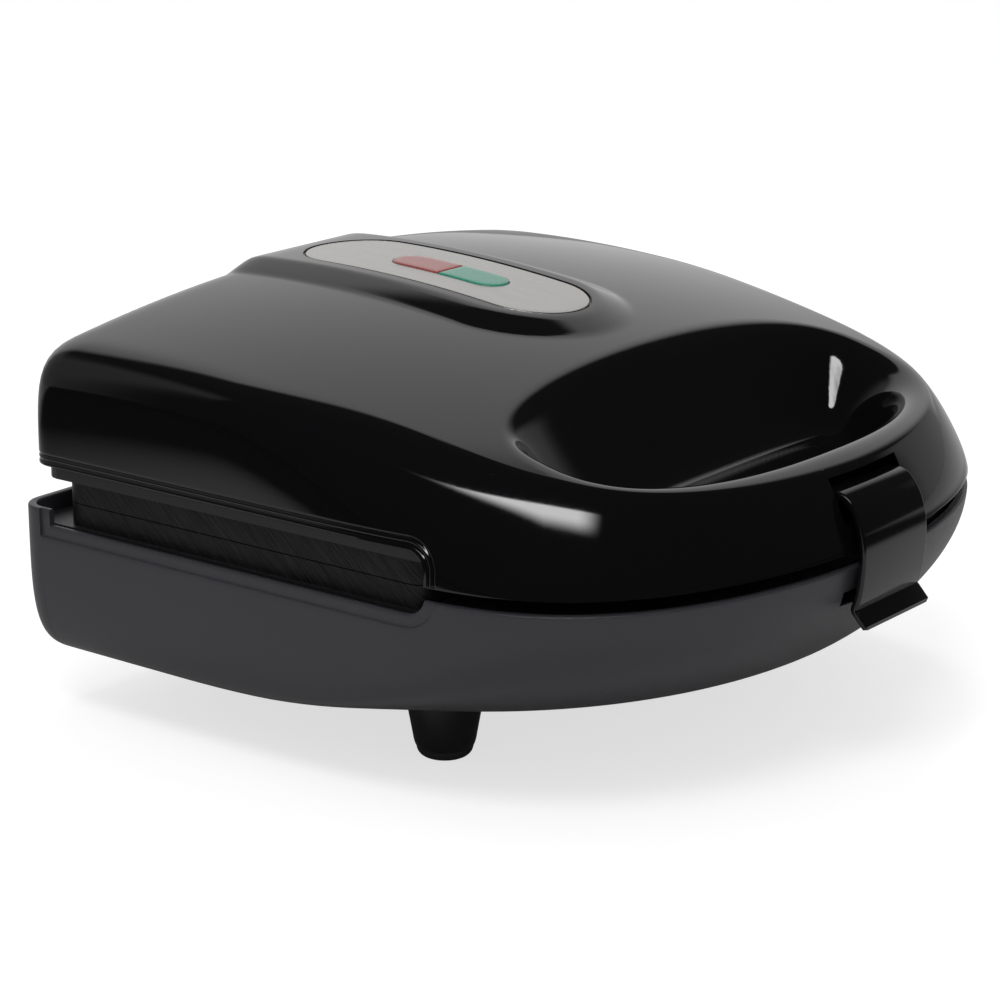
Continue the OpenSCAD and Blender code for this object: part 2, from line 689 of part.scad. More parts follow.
module hinge_pin(s) {
    color(steel) translate([s * hinge_x, pin_y, pin_z]) rotate([0, 90, 0]) {
        cylinder(h = 2 * (ear_x + ear_t), d = pin_d, center = true, $fn = 48);
        translate([0, 0, ear_x + ear_t]) cylinder(h = 1.2, d = pin_d + 2.4, $fn = 48);
    }
}
module left_hinge_pin() { hinge_pin(-1); }
module right_hinge_pin() { hinge_pin(1); }
arm_screw_y = arm_y + 2.2;
tongue_y = pin_y - knuckle_r + 0.4;
module hinge_arm(s) {
    color(black) translate([s * hinge_x, 0, 0]) difference() {
        along_x(-arm_w / 2, arm_w / 2) {
            translate([pin_y, pin_z]) circle(knuckle_r, $fn = 48);
            polygon([
                [arm_y, pin_z - 3], [pin_y - 2, pin_z - 3], [pin_y, pin_z],
                [tongue_y, frame_z], [arm_y, frame_z]
            ]);
        }
        translate([0, pin_y, pin_z]) rotate([0, 90, 0])
            cylinder(h = 60, r = pin_d / 2 + pin_play, center = true, $fn = 48);
        for (t = [-1, 1]) translate([t * 5, arm_screw_y, pin_z - 4]) cylinder(h = far, d = screw_d, $fn = 32);
    }
}
module left_hinge_arm() { hinge_arm(-1); }
module right_hinge_arm() { hinge_arm(1); }
module hinge_arm_screws() {
    color(steel) for (s = [-1, 1], t = [-1, 1]) translate([s * hinge_x + t * 5, arm_screw_y, 0]) {
        translate([0, 0, frame_z + frame_t]) cylinder(h = 1.6, d = 5.2, $fn = 32);
        translate([0, 0, pin_z - 2.5])
            cylinder(h = frame_z + frame_t - pin_z + 2.5 + e, d = screw_d, $fn = 32);
    }
}

/* Lid */

lid_posts = [for (s = [-1, 1]) each [
    [s * (side_x - 18.7), web_y - 8],
    [s * (side_x - 17.7), plate_y + plate_d / 2 + lid_head_d / 2 + side_play]]];
lid_post_d = lid_screw_d + 3;
lip_t = 1.2;
lip_top = sill_z + 2;
module lid_frame() {
    color(black) difference() {
        union() {
            stepped_frame(lid_rear_y, frame_z, lid_z + deck_drop);
            slab(frame_z, lip_top) intersection() {
                difference() {
                    deck_2d(lid_rear_y);
                    deck_2d(lid_rear_y, lip_t);
                }
                band_2d(web_y, far);
            }
        }
        translate([0, 0, frame_z - 1]) linear_extrude(frame_t + 2) plate_hole_2d();
        for (s = [-1, 1]) {
            translate([s * hinge_x - arm_w / 2 - 0.3, tongue_y, frame_z - 1]) cube([arm_w + 0.6, 20, 20]);
            for (t = [-1, 1])
                translate([s * hinge_x + t * (ear_x + ear_t / 2), pin_y - knuckle_r + 9, frame_z])
                    cube([ear_t + 1, 20, 30], center = true);
            translate([s * hinge_x - 10, arm_y - 0.3, frame_z + frame_t]) cube([20, 20, 20]);
            for (t = [-1, 1]) translate([s * hinge_x + t * 5, arm_screw_y, frame_z - 1])
                cylinder(h = 9, d = screw_d + screw_play, $fn = 32);
        }
        for (p = lid_posts) translate([p.x, p.y, lid_z]) {
            cylinder(h = 20, d = lid_screw_d + screw_play, $fn = 32);
            translate([0, 0, post_seat(p) - lid_z]) cylinder(h = 20, d = lid_post_d + side_play, $fn = 32);
        }
    }
}
function post_seat(p) = (p.y < web_y ? lid_z + deck_drop : frame_z) + frame_t;
module lid_screws() {
    color(steel) for (p = lid_posts) translate([p.x, p.y, post_seat(p) - frame_t])
        screw(0, frame_t + 8, lid_screw_d, lid_head_d);
}

// Plan of the finger recess, from the inside of its floor outwards
scoop_yc = nose_y + grip_w + scoop_front;
floor_y = scoop_yc - scoop_front * 0.48;
function scoop_rim(a) =
    let (rear = sin(a) > 0, n = rear ? 3.2 : 2.2)
    [(side_x - scoop_side) * signed_pow(cos(a), 2 / n),
        scoop_yc + (rear ? scoop_rear : scoop_front) * signed_pow(sin(a), 2 / n)];
// A straight ramp from 0 to 1 with its two ends rounded over w
function rounded(t, w) = t < -w ? 0 : t > w ? t : (t + w) * (t + w) / (4 * w);
function ramp(t, w) = rounded(t, w) - rounded(t - 1, w);
rim = [for (a = [0:8:352]) scoop_rim(a)];
function segment_gap(p, a, b) =
    let (v = b - a, t = min(1, max(0, (p - a) * v / (v * v)))) norm(a + v * t - p);
function rim_gap(p) = min([for (i = [0:len(rim) - 1]) segment_gap(p, rim[i], rim[(i + 1) % len(rim)])]);
function rim_normal(i) =
    let (n = len(rim), v = rim[(i + 1) % n] - rim[(i + n - 1) % n]) [v.y, -v.x] / norm(v);
// Height of the recess at a distance d inside its rim
function scoop_z(p, d) =
    let (c = crown(p.x, p.y), z0 = lid_z + scoop_floor)
    c - (c - z0) * ramp(d / scoop_wall_w, scoop_lip / scoop_wall_w);
function scoop_ring(f, grow, rise) = [for (q = rim)
    let (p = mix([0, floor_y], q, f)) [p.x, p.y, scoop_z(p, rim_gap(p) + grow) + rise]];
function lip_ring(out, grow, rise) = [for (i = [0:len(rim) - 1])
    let (p = rim[i] + rim_normal(i) * out) [p.x, p.y, scoop_z(p, grow - out) + rise]];
module scoop() {
    out = scoop_lip * 0.8;
    ring_solid(concat(
        [for (f = [0.1, 0.25, 0.4, 0.52, 0.62, 0.7, 0.78, 0.86, 0.93]) scoop_ring(f, 0, 0)],
        [lip_ring(0, 0, 0), lip_ring(scoop_lip / 2, 0, 0), lip_ring(out, 0, 0.7), lip_ring(out, 0, 30)]
    ));
}
// The same form one wall lower and a little wider, as the underside of the recess
module scoop_wall() {
    grow = wall_t - 0.3;
    out = scoop_lip + grow;
    ring_solid(concat(
        [for (f = [0.1, 0.4, 0.62, 0.8, 0.93]) scoop_ring(f, grow, -wall_t)],
        [lip_ring(0, grow, -wall_t), lip_ring(out, grow, -wall_t), lip_ring(out, grow, 30)]
    ));
}

// The raised ridge: cross-sections from the rear wall to its round front end
trim_y = lid_rear_y - trim_rear - trim_l / 2;
ridge_end = trim_y - trim_l / 2 - ridge_nose;
ridge_r = ridge_w / 2;
function rear_rise(y) = let (f = min(1, max(0, (lid_rear_y - y) / shoulder_rear)))
    pow(sin(acos(pow(1 - f, 1 / rear_square))), rear_square);
ridge_fillet = 1.2;
ridge_slope_w = ridge_r - ridge_top_w / 2 - ridge_fillet;
function ridge_share(x, y) = let (v = max(0, ridge_end + ridge_r - y))
    1 - ramp((sqrt(x * x + v * v) - ridge_top_w / 2) / ridge_slope_w, ridge_fillet / ridge_slope_w);
function ridge_z(x, y) = let (k = ridge_share(x, y))
    lid_z + (mix(crown(x, y), crown_line(y) + ridge_h, k) - lid_z) * rear_rise(y);
function ridge_section(y) =
    let (
        v = max(0, ridge_end + ridge_r - y),
        w = sqrt(max(1, ridge_r * ridge_r - v * v)),
        floor_z = lid_z + (crown_line(y) - 1.8 - lid_z) * rear_rise(y),
        half = [0, 0.4, 0.64, 0.68, 0.71, 0.74, 0.83, 0.92, 0.96, 1],
        us = concat([for (i = [9:-1:1]) -half[i]], half)
    )
    concat([[-w, y, floor_z - 0.8], [w, y, floor_z - 0.8]],
        [for (i = [len(us) - 1:-1:0]) [w * us[i], y, ridge_z(w * us[i], y)]]);
module ridge() {
    stations = concat(
        [for (d = [0.4, 1, 2, 4, 7, 12, 20]) lid_rear_y - d],
        [for (i = [1:9]) mix(lid_rear_y - 20, ridge_end + ridge_r, i / 9)],
        [for (a = [20:14:90]) ridge_end + ridge_r - ridge_r * sin(a)]
    );
    ring_solid([for (y = stations) ridge_section(y)]);
}
// A band that follows the middle of the crown, between two heights over it
module crown_band(z0, z1) {
    ys = [for (i = [0:16]) mix(trim_y - trim_l / 2 - 4, trim_y + trim_l / 2 + 4, i / 16)];
    along_x(-60, 60) polygon(concat(
        [for (y = ys) [y, crown_line(y) + z0]],
        [for (i = [len(ys) - 1:-1:0]) [ys[i], crown_line(ys[i]) + z1]]
    ));
}
lens_y = trim_y + trim_l / 2 - lens_pos;

hook_pin_y = nose_y + latch_pin_in;
hook_pin_z = lid_z + latch_pin_up;
barrel_r = latch_pin_d / 2 + 1.7;
slot_w = latch_w + 2 * (side_play + 0.3);
slot_top = hook_pin_z + barrel_r + 3.4;
slot_low = hook_pin_z - barrel_r - 1.8;
slot_back = hook_pin_y + barrel_r + 0.8;
module latch_slot(grow) {
    translate([-slot_w / 2 - grow, nose_y - 5, slot_low - grow])
        cube([slot_w + 2 * grow, slot_back - nose_y + 5 + grow, slot_top - slot_low + 2 * grow]);
}
module lid_shell() {
    color(black) difference() {
        union() {
            dome(0, 11);
            ridge();
        }
        difference() {
            dome(wall_t, 8);
            scoop_wall();
            latch_slot(2);
            for (p = lid_posts) translate([p.x, p.y, post_seat(p)])
                cylinder(h = 70, d = lid_post_d, $fn = 32);
        }
        for (p = lid_posts) translate([p.x, p.y, post_seat(p) - 1])
            cylinder(h = 9.4, d = lid_screw_d, $fn = 32);
        scoop();
        both_sides() along_x(-e, far) window_2d(0, far);
        latch_slot(0);
        translate([0, hook_pin_y, hook_pin_z]) rotate([0, 90, 0])
            cylinder(h = slot_w + 4, d = latch_pin_d, center = true, $fn = 32);
        intersection() {
            crown_band(ridge_h - trim_t, 20);
            translate([0, trim_y, 0]) linear_extrude(far)
                stadium(trim_w + 2 * trim_gap, trim_l + 2 * trim_gap);
        }
        translate([0, lens_y, top_z + 20]) linear_extrude(far) stadium(lens_w + 0.4, lens_l + 0.4);
    }
}
module trim_plate() {
    color(steel) difference() {
        intersection() {
            crown_band(ridge_h - trim_t, ridge_h - 0.1);
            translate([0, trim_y, 0]) linear_extrude(far) stadium(trim_w, trim_l);
        }
        translate([0, lens_y, 0]) linear_extrude(far) stadium(lens_w + 0.4, lens_l + 0.4);
    }
}
// Each lens is one half of a stadium, with its foot on the lamp holder
module lens(s) {
    intersection() {
        crown_band(-wall_t - 4, ridge_h + 0.3);
        translate([0, lens_y, 0]) linear_extrude(far) intersection() {
            stadium(lens_w, lens_l);
            translate([-20, s > 0 ? 0.15 : -40.15]) square([40, 40]);
        }
    }
}
module red_lens() { color([0.7, 0.12, 0.12]) lens(1); }
module green_lens() { color([0.25, 0.65, 0.5]) lens(-1); }
holder_w = lens_w + 7;
holder_l = lens_l + 7;
holder_z = crown_line(lens_y) - wall_t - 15;
holder_t = 1.6;
lamp_d = 5.6;
module lamp_holder() {
    color([0.85, 0.85, 0.82]) difference() {
        intersection() {
            translate([0, lens_y, holder_z]) linear_extrude(far) round_rect(holder_w, holder_l, 3);
            crown_band(-40, -wall_t - 0.35);
        }
        translate([0, lens_y, holder_z + holder_t]) linear_extrude(far) stadium(lens_w - 2, lens_l - 2);
        intersection() {
            translate([0, lens_y, holder_z]) linear_extrude(far) stadium(lens_w, lens_l);
            crown_band(-wall_t - 4, 30);
        }
    }
}
module neon(s) {
    y0 = lens_y + s * lens_l / 4;
    translate([0, y0, holder_z + holder_t + lamp_d / 2]) {
        rod([0, -7, 0], [0, 5, 0], lamp_d);
        translate([0, 5, 0]) sphere(d = lamp_d, $fn = 32);
    }
}
module red_lamp() { color([0.95, 0.55, 0.35]) neon(1); }
module green_lamp() { color([0.7, 0.95, 0.75]) neon(-1); }

/* Latch */

function bezier(p, t) = let (u = 1 - t)
    u * u * u * p[0] + 3 * u * u * t * p[1] + 3 * u * t * t * p[2] + t * t * t * p[3];
strap_y = nose_y - latch_gap - latch_t / 2;
crease = [strap_y + crease_in, top_z - latch_drop];
tab_end = crease + [-tab_reach, -tab_h];
strap_path = concat(
    [for (i = [0:8]) bezier([
        [hook_pin_y - 1.6, hook_pin_z + barrel_r - latch_t / 2 - 0.1],
        [hook_pin_y - 6.4, hook_pin_z + 3.6],
        [strap_y, hook_pin_z - 4.2],
        [strap_y, lid_z - 1]
    ], i / 8)],
    [for (i = [1:4]) bezier([
        [strap_y, lid_z - 1], [strap_y, top_z - 2.5], crease + [-1.3, 3.9], crease + [0, 0.8]
    ], i / 4)],
    [crease + [-0.5, -0.4], tab_end]
);
// A ribbon of even thickness along a path in the YZ plane
module ribbon(path, t) {
    n = len(path);
    side = [for (i = [0:n - 1]) let (v = path[min(i + 1, n - 1)] - path[max(i - 1, 0)], u = v / norm(v))
        [-u.y, u.x] * t / 2];
    polygon(concat([for (i = [0:n - 1]) path[i] + side[i]], [for (i = [n - 1:-1:0]) path[i] - side[i]]));
}
module latch() {
    hook = [crease.x + 3.6, slot_z + 1.3];
    color(black) difference() {
        union() {
            along_x(-latch_w / 2, latch_w / 2) {
                ribbon(strap_path, latch_t);
                translate([hook_pin_y, hook_pin_z]) circle(barrel_r, $fn = 48);
            }
            along_x(-latch_w / 2 + 2, latch_w / 2 - 2) polygon([
                [crease.x - 0.9, hook.y + hook_h - 1.2], [hook.x, hook.y + hook_h - 1.2],
                [hook.x, hook.y], [hook.x - 2.6, hook.y - 1.2], [crease.x - 0.6, hook.y - 1.2]
            ]);
        }
        translate([0, hook_pin_y, hook_pin_z]) rotate([0, 90, 0])
            cylinder(h = latch_w + 2, r = latch_pin_d / 2 + pin_play, center = true, $fn = 32);
    }
}
module latch_pin() {
    color(steel) translate([0, hook_pin_y, hook_pin_z]) rotate([0, 90, 0])
        cylinder(h = slot_w + 4, d = latch_pin_d, center = true, $fn = 32);
}

base_shell();
base_deck();
lower_cooking_plate();
lower_heating_element();
lower_heat_reflector();
lower_plate_screws();
thermostat();
thermal_fuse();
terminal_block();
cord_inlet_bush();
front_left_foot();
front_right_foot();
rear_left_foot();
rear_right_foot();
foot_pads();
base_screws();
left_hinge_bracket();
right_hinge_bracket();
bracket_screws();
left_hinge_pin();
right_hinge_pin();
lid_shell();
lid_frame();
upper_cooking_plate();
upper_heating_element();
upper_heat_reflector();
upper_plate_screws();
left_hinge_arm();
right_hinge_arm();
hinge_arm_screws();
lid_screws();
trim_plate();
red_lens();
green_lens();
lamp_holder();
red_lamp();
green_lamp();
latch();
latch_pin();
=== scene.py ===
"""Sandwich toaster: the dressed model, laid out as a Blender add-on and run as a script."""
import json
import math
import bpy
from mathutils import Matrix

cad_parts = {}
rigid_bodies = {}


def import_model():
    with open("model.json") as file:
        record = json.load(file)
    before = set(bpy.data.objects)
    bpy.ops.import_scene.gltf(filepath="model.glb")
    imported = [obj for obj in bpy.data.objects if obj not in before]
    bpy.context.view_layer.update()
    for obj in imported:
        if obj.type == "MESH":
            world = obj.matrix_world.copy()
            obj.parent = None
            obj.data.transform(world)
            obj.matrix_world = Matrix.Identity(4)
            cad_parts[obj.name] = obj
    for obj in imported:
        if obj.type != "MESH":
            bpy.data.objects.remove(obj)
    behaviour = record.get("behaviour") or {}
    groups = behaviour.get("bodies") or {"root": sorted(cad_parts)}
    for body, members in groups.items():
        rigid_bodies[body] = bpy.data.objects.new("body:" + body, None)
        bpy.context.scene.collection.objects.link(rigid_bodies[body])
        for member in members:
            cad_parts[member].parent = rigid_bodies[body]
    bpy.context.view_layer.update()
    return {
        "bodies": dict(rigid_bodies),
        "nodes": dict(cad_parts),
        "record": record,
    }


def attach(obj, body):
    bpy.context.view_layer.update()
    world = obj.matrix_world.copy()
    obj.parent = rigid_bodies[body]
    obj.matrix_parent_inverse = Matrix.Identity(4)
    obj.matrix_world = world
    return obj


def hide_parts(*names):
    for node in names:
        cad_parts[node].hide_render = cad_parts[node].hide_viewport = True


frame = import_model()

from types import SimpleNamespace

import bpy
import numpy as np
from mathutils import Vector

bl_info = {
    "name": "Sandwich Toaster",
    "version": (1, 0, 0),
    "blender": (4, 5, 0),
    "location": "View3D > Sidebar > Toaster",
    "description": "Builds the visible surfaces, finishes and stage of a hinged sandwich toaster",
    "category": "Object",
}

PREFIX = "toaster_"
REAR_RIGHT = (0.719, 0.695, 0)


# ---------------------------------------------------------------- settings

def length(name, description, default):
    return bpy.props.FloatProperty(
        name=name, description=description, default=default, min=0.0, unit="LENGTH", precision=5)


def factor(name, description, default):
    return bpy.props.FloatProperty(name=name, description=description, default=default, min=0.0)


def colour(name, description, default):
    return bpy.props.FloatVectorProperty(
        name=name, description=description, default=default, size=3, subtype="COLOR", min=0.0, max=1.0)


class ToasterBody(bpy.types.PropertyGroup):
    """Sizes of the base and of the plan that base and lid share"""

    foot_h: length("Foot height", "Height of the feet under the base", 0.0195)
    base_h: length("Base height", "Height of the base housing", 0.043)
    wall: length("Wall", "Thickness of the moulded housings", 0.0025)
    plate_w: length("Plate width", "Width of each cooking plate", 0.209)
    plate_d: length("Plate depth", "Depth of each cooking plate", 0.134)
    side_rim: length("Side rim", "Distance from the plates' ends to the sides", 0.0052)
    rear_rim: length("Rear rim", "Length of the rear rim behind the side windows", 0.0129)
    window_play: length("Window play", "Spare length of each side window", 0.0022)
    nose_reach: length("Nose reach", "Reach of the nose ahead of the side windows", 0.0723)
    nose_len: length("Nose length", "Length of the blunt nose ahead of the straight sides", 0.099)
    nose_full_x: factor("Nose fullness X", "Fullness of the nose along X", 1.9)
    nose_full_y: factor("Nose fullness Y", "Fullness of the nose along Y", 3.4)
    corner_r: length("Rear corners", "Radius of the rear corners seen from above", 0.0084)
    belly_side: length("Belly side", "Setback of the flat bottom from each side", 0.0147)
    belly_rear: length("Belly rear", "Setback of the flat bottom from the rear wall", 0.011)
    belly_front: length("Belly front", "Setback of the flat bottom from the nose", 0.061)
    belly_square: factor("Belly squareness", "Squareness of the side and rear bottom edges", 4.5)
    ledge: length("Window ledge", "Drop of the window's ledge below the top edge", 0.0046)
    window_h: length("Window height", "Height of the side window", 0.0175)
    window_r: length("Window corner", "Radius of the window's front corners", 0.006)
    border_w: length("Border width", "Width of the sunk border under the window", 0.0034)
    border_t: length("Border depth", "Depth of the sunk border", 0.0007)


class ToasterLid(bpy.types.PropertyGroup):
    """Sizes of the crowned lid, its ridge and its finger recess"""

    gap: length("Lid gap", "Groove between base and lid round the nose", 0.0037)
    setback: length("Lid setback", "Setback of the lid's rear wall", 0.0054)
    crown_h: length("Crown height", "Height of the crown above the base", 0.0556)
    crown_tip: length("Crown at the tip", "Height of the crown above the base at the nose", 0.0215)
    crown_slope: factor("Crown slope", "Rise of the crown towards the rear", 0.086)
    crown_fall: length("Crown fall", "Fall of the crown at the sides", 0.0098)
    shoulder_side: length("Side shoulder", "Reach of the side shoulder", 0.0217)
    shoulder_rear: length("Rear shoulder", "Reach of the rear shoulder", 0.0226)
    shoulder_nose: length("Nose shoulder", "Reach of the nose shoulder", 0.0091)
    rear_square: factor("Rear shoulder power", "Squareness of the rear and side shoulder", 0.33)
    nose_round: factor("Nose shoulder power", "Roundness of the nose shoulder", 1.5)
    ridge_w: length("Ridge width", "Width of the raised ridge at its foot", 0.0664)
    ridge_fillet: length("Ridge fillet", "Rounding of the ridge's edges", 0.0012)
    ridge_top_w: length("Ridge top", "Width of the ridge's flat top", 0.045)
    ridge_h: length("Ridge height", "Height of the ridge above the lid", 0.0024)
    ridge_nose: length("Ridge nose", "Front end of the ridge ahead of the trim plate", 0.013)
    scoop_side: length("Recess side", "Distance from the sides to the recess", 0.031)
    scoop_rear: length("Recess rear", "Length of the recess behind its widest line", 0.0238)
    scoop_front: length("Recess front", "Length of the recess ahead of its widest line", 0.0383)
    grip_w: length("Grip bar", "Width of the bar between recess and nose", 0.0168)
    scoop_floor: length("Recess floor", "Height of the recess floor above the lid's edge", 0.007)
    scoop_wall: length("Recess wall", "Width of the recess's sloping wall", 0.0165)
    scoop_lip: length("Recess lip", "Reach of the soft lip to either side of the rim", 0.0044)
    bead_t: length("Bead depth", "Depth of the two grooves that leave beads round the window", 0.0004)
    bead_w: length("Bead width", "Distance from the window to the first groove, and between both", 0.0015)


class ToasterTrim(bpy.types.PropertyGroup):
    """Sizes of the trim plate, the lenses and the latch"""

    plate_w: length("Trim width", "Width of the steel trim plate", 0.035)
    plate_l: length("Trim length", "Length of the steel trim plate", 0.097)
    plate_t: length("Trim thickness", "Thickness of the steel trim plate", 0.001)
    plate_rear: length("Trim place", "Distance from the lid's rear wall to the plate", 0.0152)
    gap: length("Trim groove", "Width of the groove round the trim plate", 0.0008)
    lens_l: length("Lens length", "Length of the two lenses together", 0.04)
    lens_w: length("Lens width", "Width of the lenses", 0.0124)
    lens_pos: length("Lens place", "Distance from the plate's rear end to the lenses", 0.0506)
    latch_w: length("Latch width", "Width of the latch", 0.0326)
    latch_t: length("Latch thickness", "Thickness of the latch", 0.0022)
    latch_gap: length("Latch gap", "Space between the latch and the nose", 0.0009)
    pin_in: length("Latch pin setback", "Setback of the latch pin from the nose", 0.0095)
    pin_up: length("Latch pin height", "Height of the latch pin above the lid's edge", 0.013)
    latch_drop: length("Latch drop", "Depth of the latch below the base's top edge", 0.0124)
    tab_h: length("Tab height", "Height of the thumb tab", 0.0044)
    tab_reach: length("Tab reach", "Reach of the thumb tab", 0.0042)


class ToasterFinish(bpy.types.PropertyGroup):
    """Colours of the finishes"""

    lid: colour("Lid", "Gloss lid", (0.0022, 0.0022, 0.0026))
    base: colour("Base", "Satin base", (0.029, 0.028, 0.033))
    frame: colour("Frames", "Matt black frames", (0.010, 0.010, 0.011))
    cast: colour("Plates", "Coated cast plates", (0.013, 0.013, 0.0138))
    steel: colour("Trim steel", "Brushed trim plate", (0.54, 0.53, 0.51))
    red: colour("Red lens", "Red lens", (0.31, 0.085, 0.077))
    green: colour("Green lens", "Green lens", (0.052, 0.262, 0.185))


class ToasterStage(bpy.types.PropertyGroup):
    """Camera and light"""

    azimuth: bpy.props.FloatProperty(
        name="Azimuth", description="Camera's angle about Z", default=math.radians(-52.21618), subtype="ANGLE")
    elevation: bpy.props.FloatProperty(
        name="Elevation", description="Camera's angle above the floor", default=math.radians(16.29712),
        subtype="ANGLE")
    place: bpy.props.FloatVectorProperty(
        name="Place", description="Camera's place", default=(-0.69014, -0.51243, 0.30926), subtype="XYZ",
        unit="LENGTH")
    lens: bpy.props.FloatProperty(
        name="Lens", description="Focal length in millimetres", default=110.81, unit="CAMERA")
    sky: factor("Sky", "Strength of the even light from all round", 0.7)
    key: factor("Key light", "Power of the key light in watts", 10.5)


SETTINGS = {
    "toaster_body": ToasterBody,
    "toaster_lid": ToasterLid,
    "toaster_trim": ToasterTrim,
    "toaster_finish": ToasterFinish,
    "toaster_stage": ToasterStage,
}


def plan():
    """The settings together with the levels and places that follow from them, in metres."""
    scene = bpy.context.scene
    b, l, t = scene.toaster_body, scene.toaster_lid, scene.toaster_trim
    p = SimpleNamespace(body=b, lid=l, trim=t)
    p.belly_z = b.foot_h
    p.top_z = p.belly_z + b.base_h
    p.ledge_z = p.top_z - b.ledge
    p.sill_z = p.ledge_z + b.window_h
    p.lid_z = p.top_z + l.gap
    body_w = b.plate_w + 2 * b.side_rim
    window_len = b.plate_d + b.window_play
    body_d = b.rear_rim + window_len + b.nose_reach
    crease_in = 0.0021
    inlet_reach = 0.002
    tab_tip = t.latch_gap + t.latch_t / 2 - crease_in + t.tab_reach + t.latch_t * 0.36
    p.rear_y = body_d / 2 + (tab_tip - inlet_reach) / 2
    p.nose_y = p.rear_y - body_d
    p.side_x = body_w / 2
    p.nose_yc = p.nose_y + b.nose_len
    p.window_rear = p.rear_y - b.rear_rim
    p.window_front = p.window_rear - window_len
    p.lid_rear = p.rear_y - l.setback
    p.plate_y = (p.window_rear + p.window_front) / 2 + 0.0004
    p.crown_y = p.plate_y + 0.003
    v = p.nose_y - p.crown_y
    p.crown_bend = (l.crown_h + l.crown_slope * v - l.crown_tip) / v ** 2
    # trim plate, its groove, and the lenses' hole
    p.trim_y = p.lid_rear - t.plate_rear - t.plate_l / 2
    p.lens_y = p.trim_y + t.plate_l / 2 - t.lens_pos
    p.ridge_end = p.trim_y - t.plate_l / 2 - l.ridge_nose
    p.groove_w, p.groove_l = t.plate_w + 2 * t.gap, t.plate_l + 2 * t.gap
    p.hole_w, p.hole_l = t.lens_w + 0.0004, t.lens_l + 0.0004
    # latch, its pocket in the lid, and the hook's slot in the base
    p.pin_y = p.nose_y + t.pin_in
    p.pin_z = p.lid_z + t.pin_up
    p.crease = np.array([p.nose_y - t.latch_gap - t.latch_t / 2 + crease_in, p.top_z - t.latch_drop])
    p.barrel_r = 0.0032
    p.pocket_w = t.latch_w + 0.0013
    p.pocket_low, p.pocket_top = p.pin_z - p.barrel_r - 0.0018, p.pin_z + p.barrel_r + 0.0034
    p.pocket_back = p.pin_y + p.barrel_r + 0.0008
    p.slot_w = t.latch_w + 0.0044
    p.slot_z = p.top_z - t.latch_drop + 0.0016
    # screw posts: places (x, y) in the base, and (x, y, lower end) in the lid
    p.seat_z, p.post_z = p.belly_z + 0.0065, p.belly_z + 0.0105
    p.base_posts = [(s * x, y) for x, y in (
        (p.side_x - 0.0547, p.window_front - 0.0065), (p.side_x - 0.0197, p.rear_y - 0.0074)) for s in (-1, 1)]
    p.lid_posts = [(s * x, y, z) for s in (-1, 1) for x, y, z in (
        (p.side_x - 0.0187, p.window_front - 0.009, p.lid_z + 0.0036),
        (p.side_x - 0.0177, p.plate_y + 0.06965, p.sill_z - 0.0018))]
    return p


# ---------------------------------------------------------------- forms

def mix(a, b, f):
    """a at f = 0, b at f = 1."""
    return a + (b - a) * f


def smooth(a, b, v):
    """A cubic step: 0 up to a, 1 from b, 3t^2 - 2t^3 between."""
    t = np.clip((v - a) / (b - a), 0.0, 1.0)
    return t * t * (3 - 2 * t)


def signed_pow(v, power):
    """|v|^power with the sign of v."""
    return np.sign(v) * np.abs(v) ** power


def full_turn(n):
    """n angles spread evenly over a full turn."""
    return np.linspace(0, 2 * math.pi, n, endpoint=False)


def rounding(r, *degrees):
    """Setbacks and drops along an edge rounded by r: 0 degrees is at its side, 90 at its top."""
    return [(r * (1 - math.cos(a)), r * (1 - math.sin(a))) for a in np.radians(degrees)]


def nose_share(p, y):
    """How far a place along the side belongs to the round nose (1) or the square rear (0)."""
    ahead, behind = 0.068, 0.048
    return 1 - smooth(p.nose_yc - ahead, p.nose_yc + behind, y)


def half_outline(k, w_rear, w_nose, y_rear, r, y_c, reach, full_x, full_y):
    """Left half of a plan outline as a function of k from 0 to 4.

    0 to 1 runs along the rear wall, 1 to 2 round the corner's quarter circle, 2 to 3 down the
    flank, and 3 to 4 along a superellipse x = w |cos a|^(2/full_x), y = reach |sin a|^(2/full_y).
    """
    k = np.asarray(k, float)
    f = np.clip(k, 0, 1)
    x = -(w_rear - r) * f
    y = np.broadcast_to(y_rear, x.shape).copy()
    a = np.radians(90 + 90 * np.clip(k - 1, 0, 1))
    turn = k > 1
    x = np.where(turn, -w_rear + r + r * np.cos(a), x)
    y = np.where(turn, y_rear - r + r * np.sin(a), y)
    f = np.clip(k - 2, 0, 1)
    flank = k > 2
    x = np.where(flank, -mix(w_rear, w_nose, f), x)
    y = np.where(flank, mix(y_rear - r, y_c, f), y)
    a = np.radians(180 + 90 * np.clip(k - 3, 0, 1))
    nose = k > 3
    x = np.where(nose, w_nose * signed_pow(np.cos(a), 2 / full_x), x)
    y = np.where(nose, y_c + reach * signed_pow(np.sin(a), 2 / full_y), y)
    return x, y


def body_outline(p, k, inset, y_rear):
    """Left half of the plan outline of base and lid, moved inwards by inset."""
    b = p.body
    least_r = 0.0015
    return half_outline(
        k, p.side_x - inset, p.side_x - inset, y_rear - inset, np.maximum(b.corner_r - inset, least_r),
        p.nose_yc, b.nose_len - inset, b.nose_full_x, b.nose_full_y)


def superellipse(turn, n):
    """Point of |X|^n + |Z|^n = 1 in the direction of the angle turn."""
    c, s = np.abs(np.cos(turn)), np.abs(np.sin(turn))
    r = (c ** n + s ** n) ** (-1 / n)
    return c * r, s * r


def turn_at(z, n):
    """The angle at which a superellipse reaches the height z."""
    z = np.clip(z, 0, 1)
    return np.arctan2(z, (1 - z ** n) ** (1 / n))


def crown_line(p, y):
    """Height of the crown along the middle: a parabola."""
    v = y - p.crown_y
    return p.top_z + p.lid.crown_h + p.lid.crown_slope * v - p.crown_bend * v * v


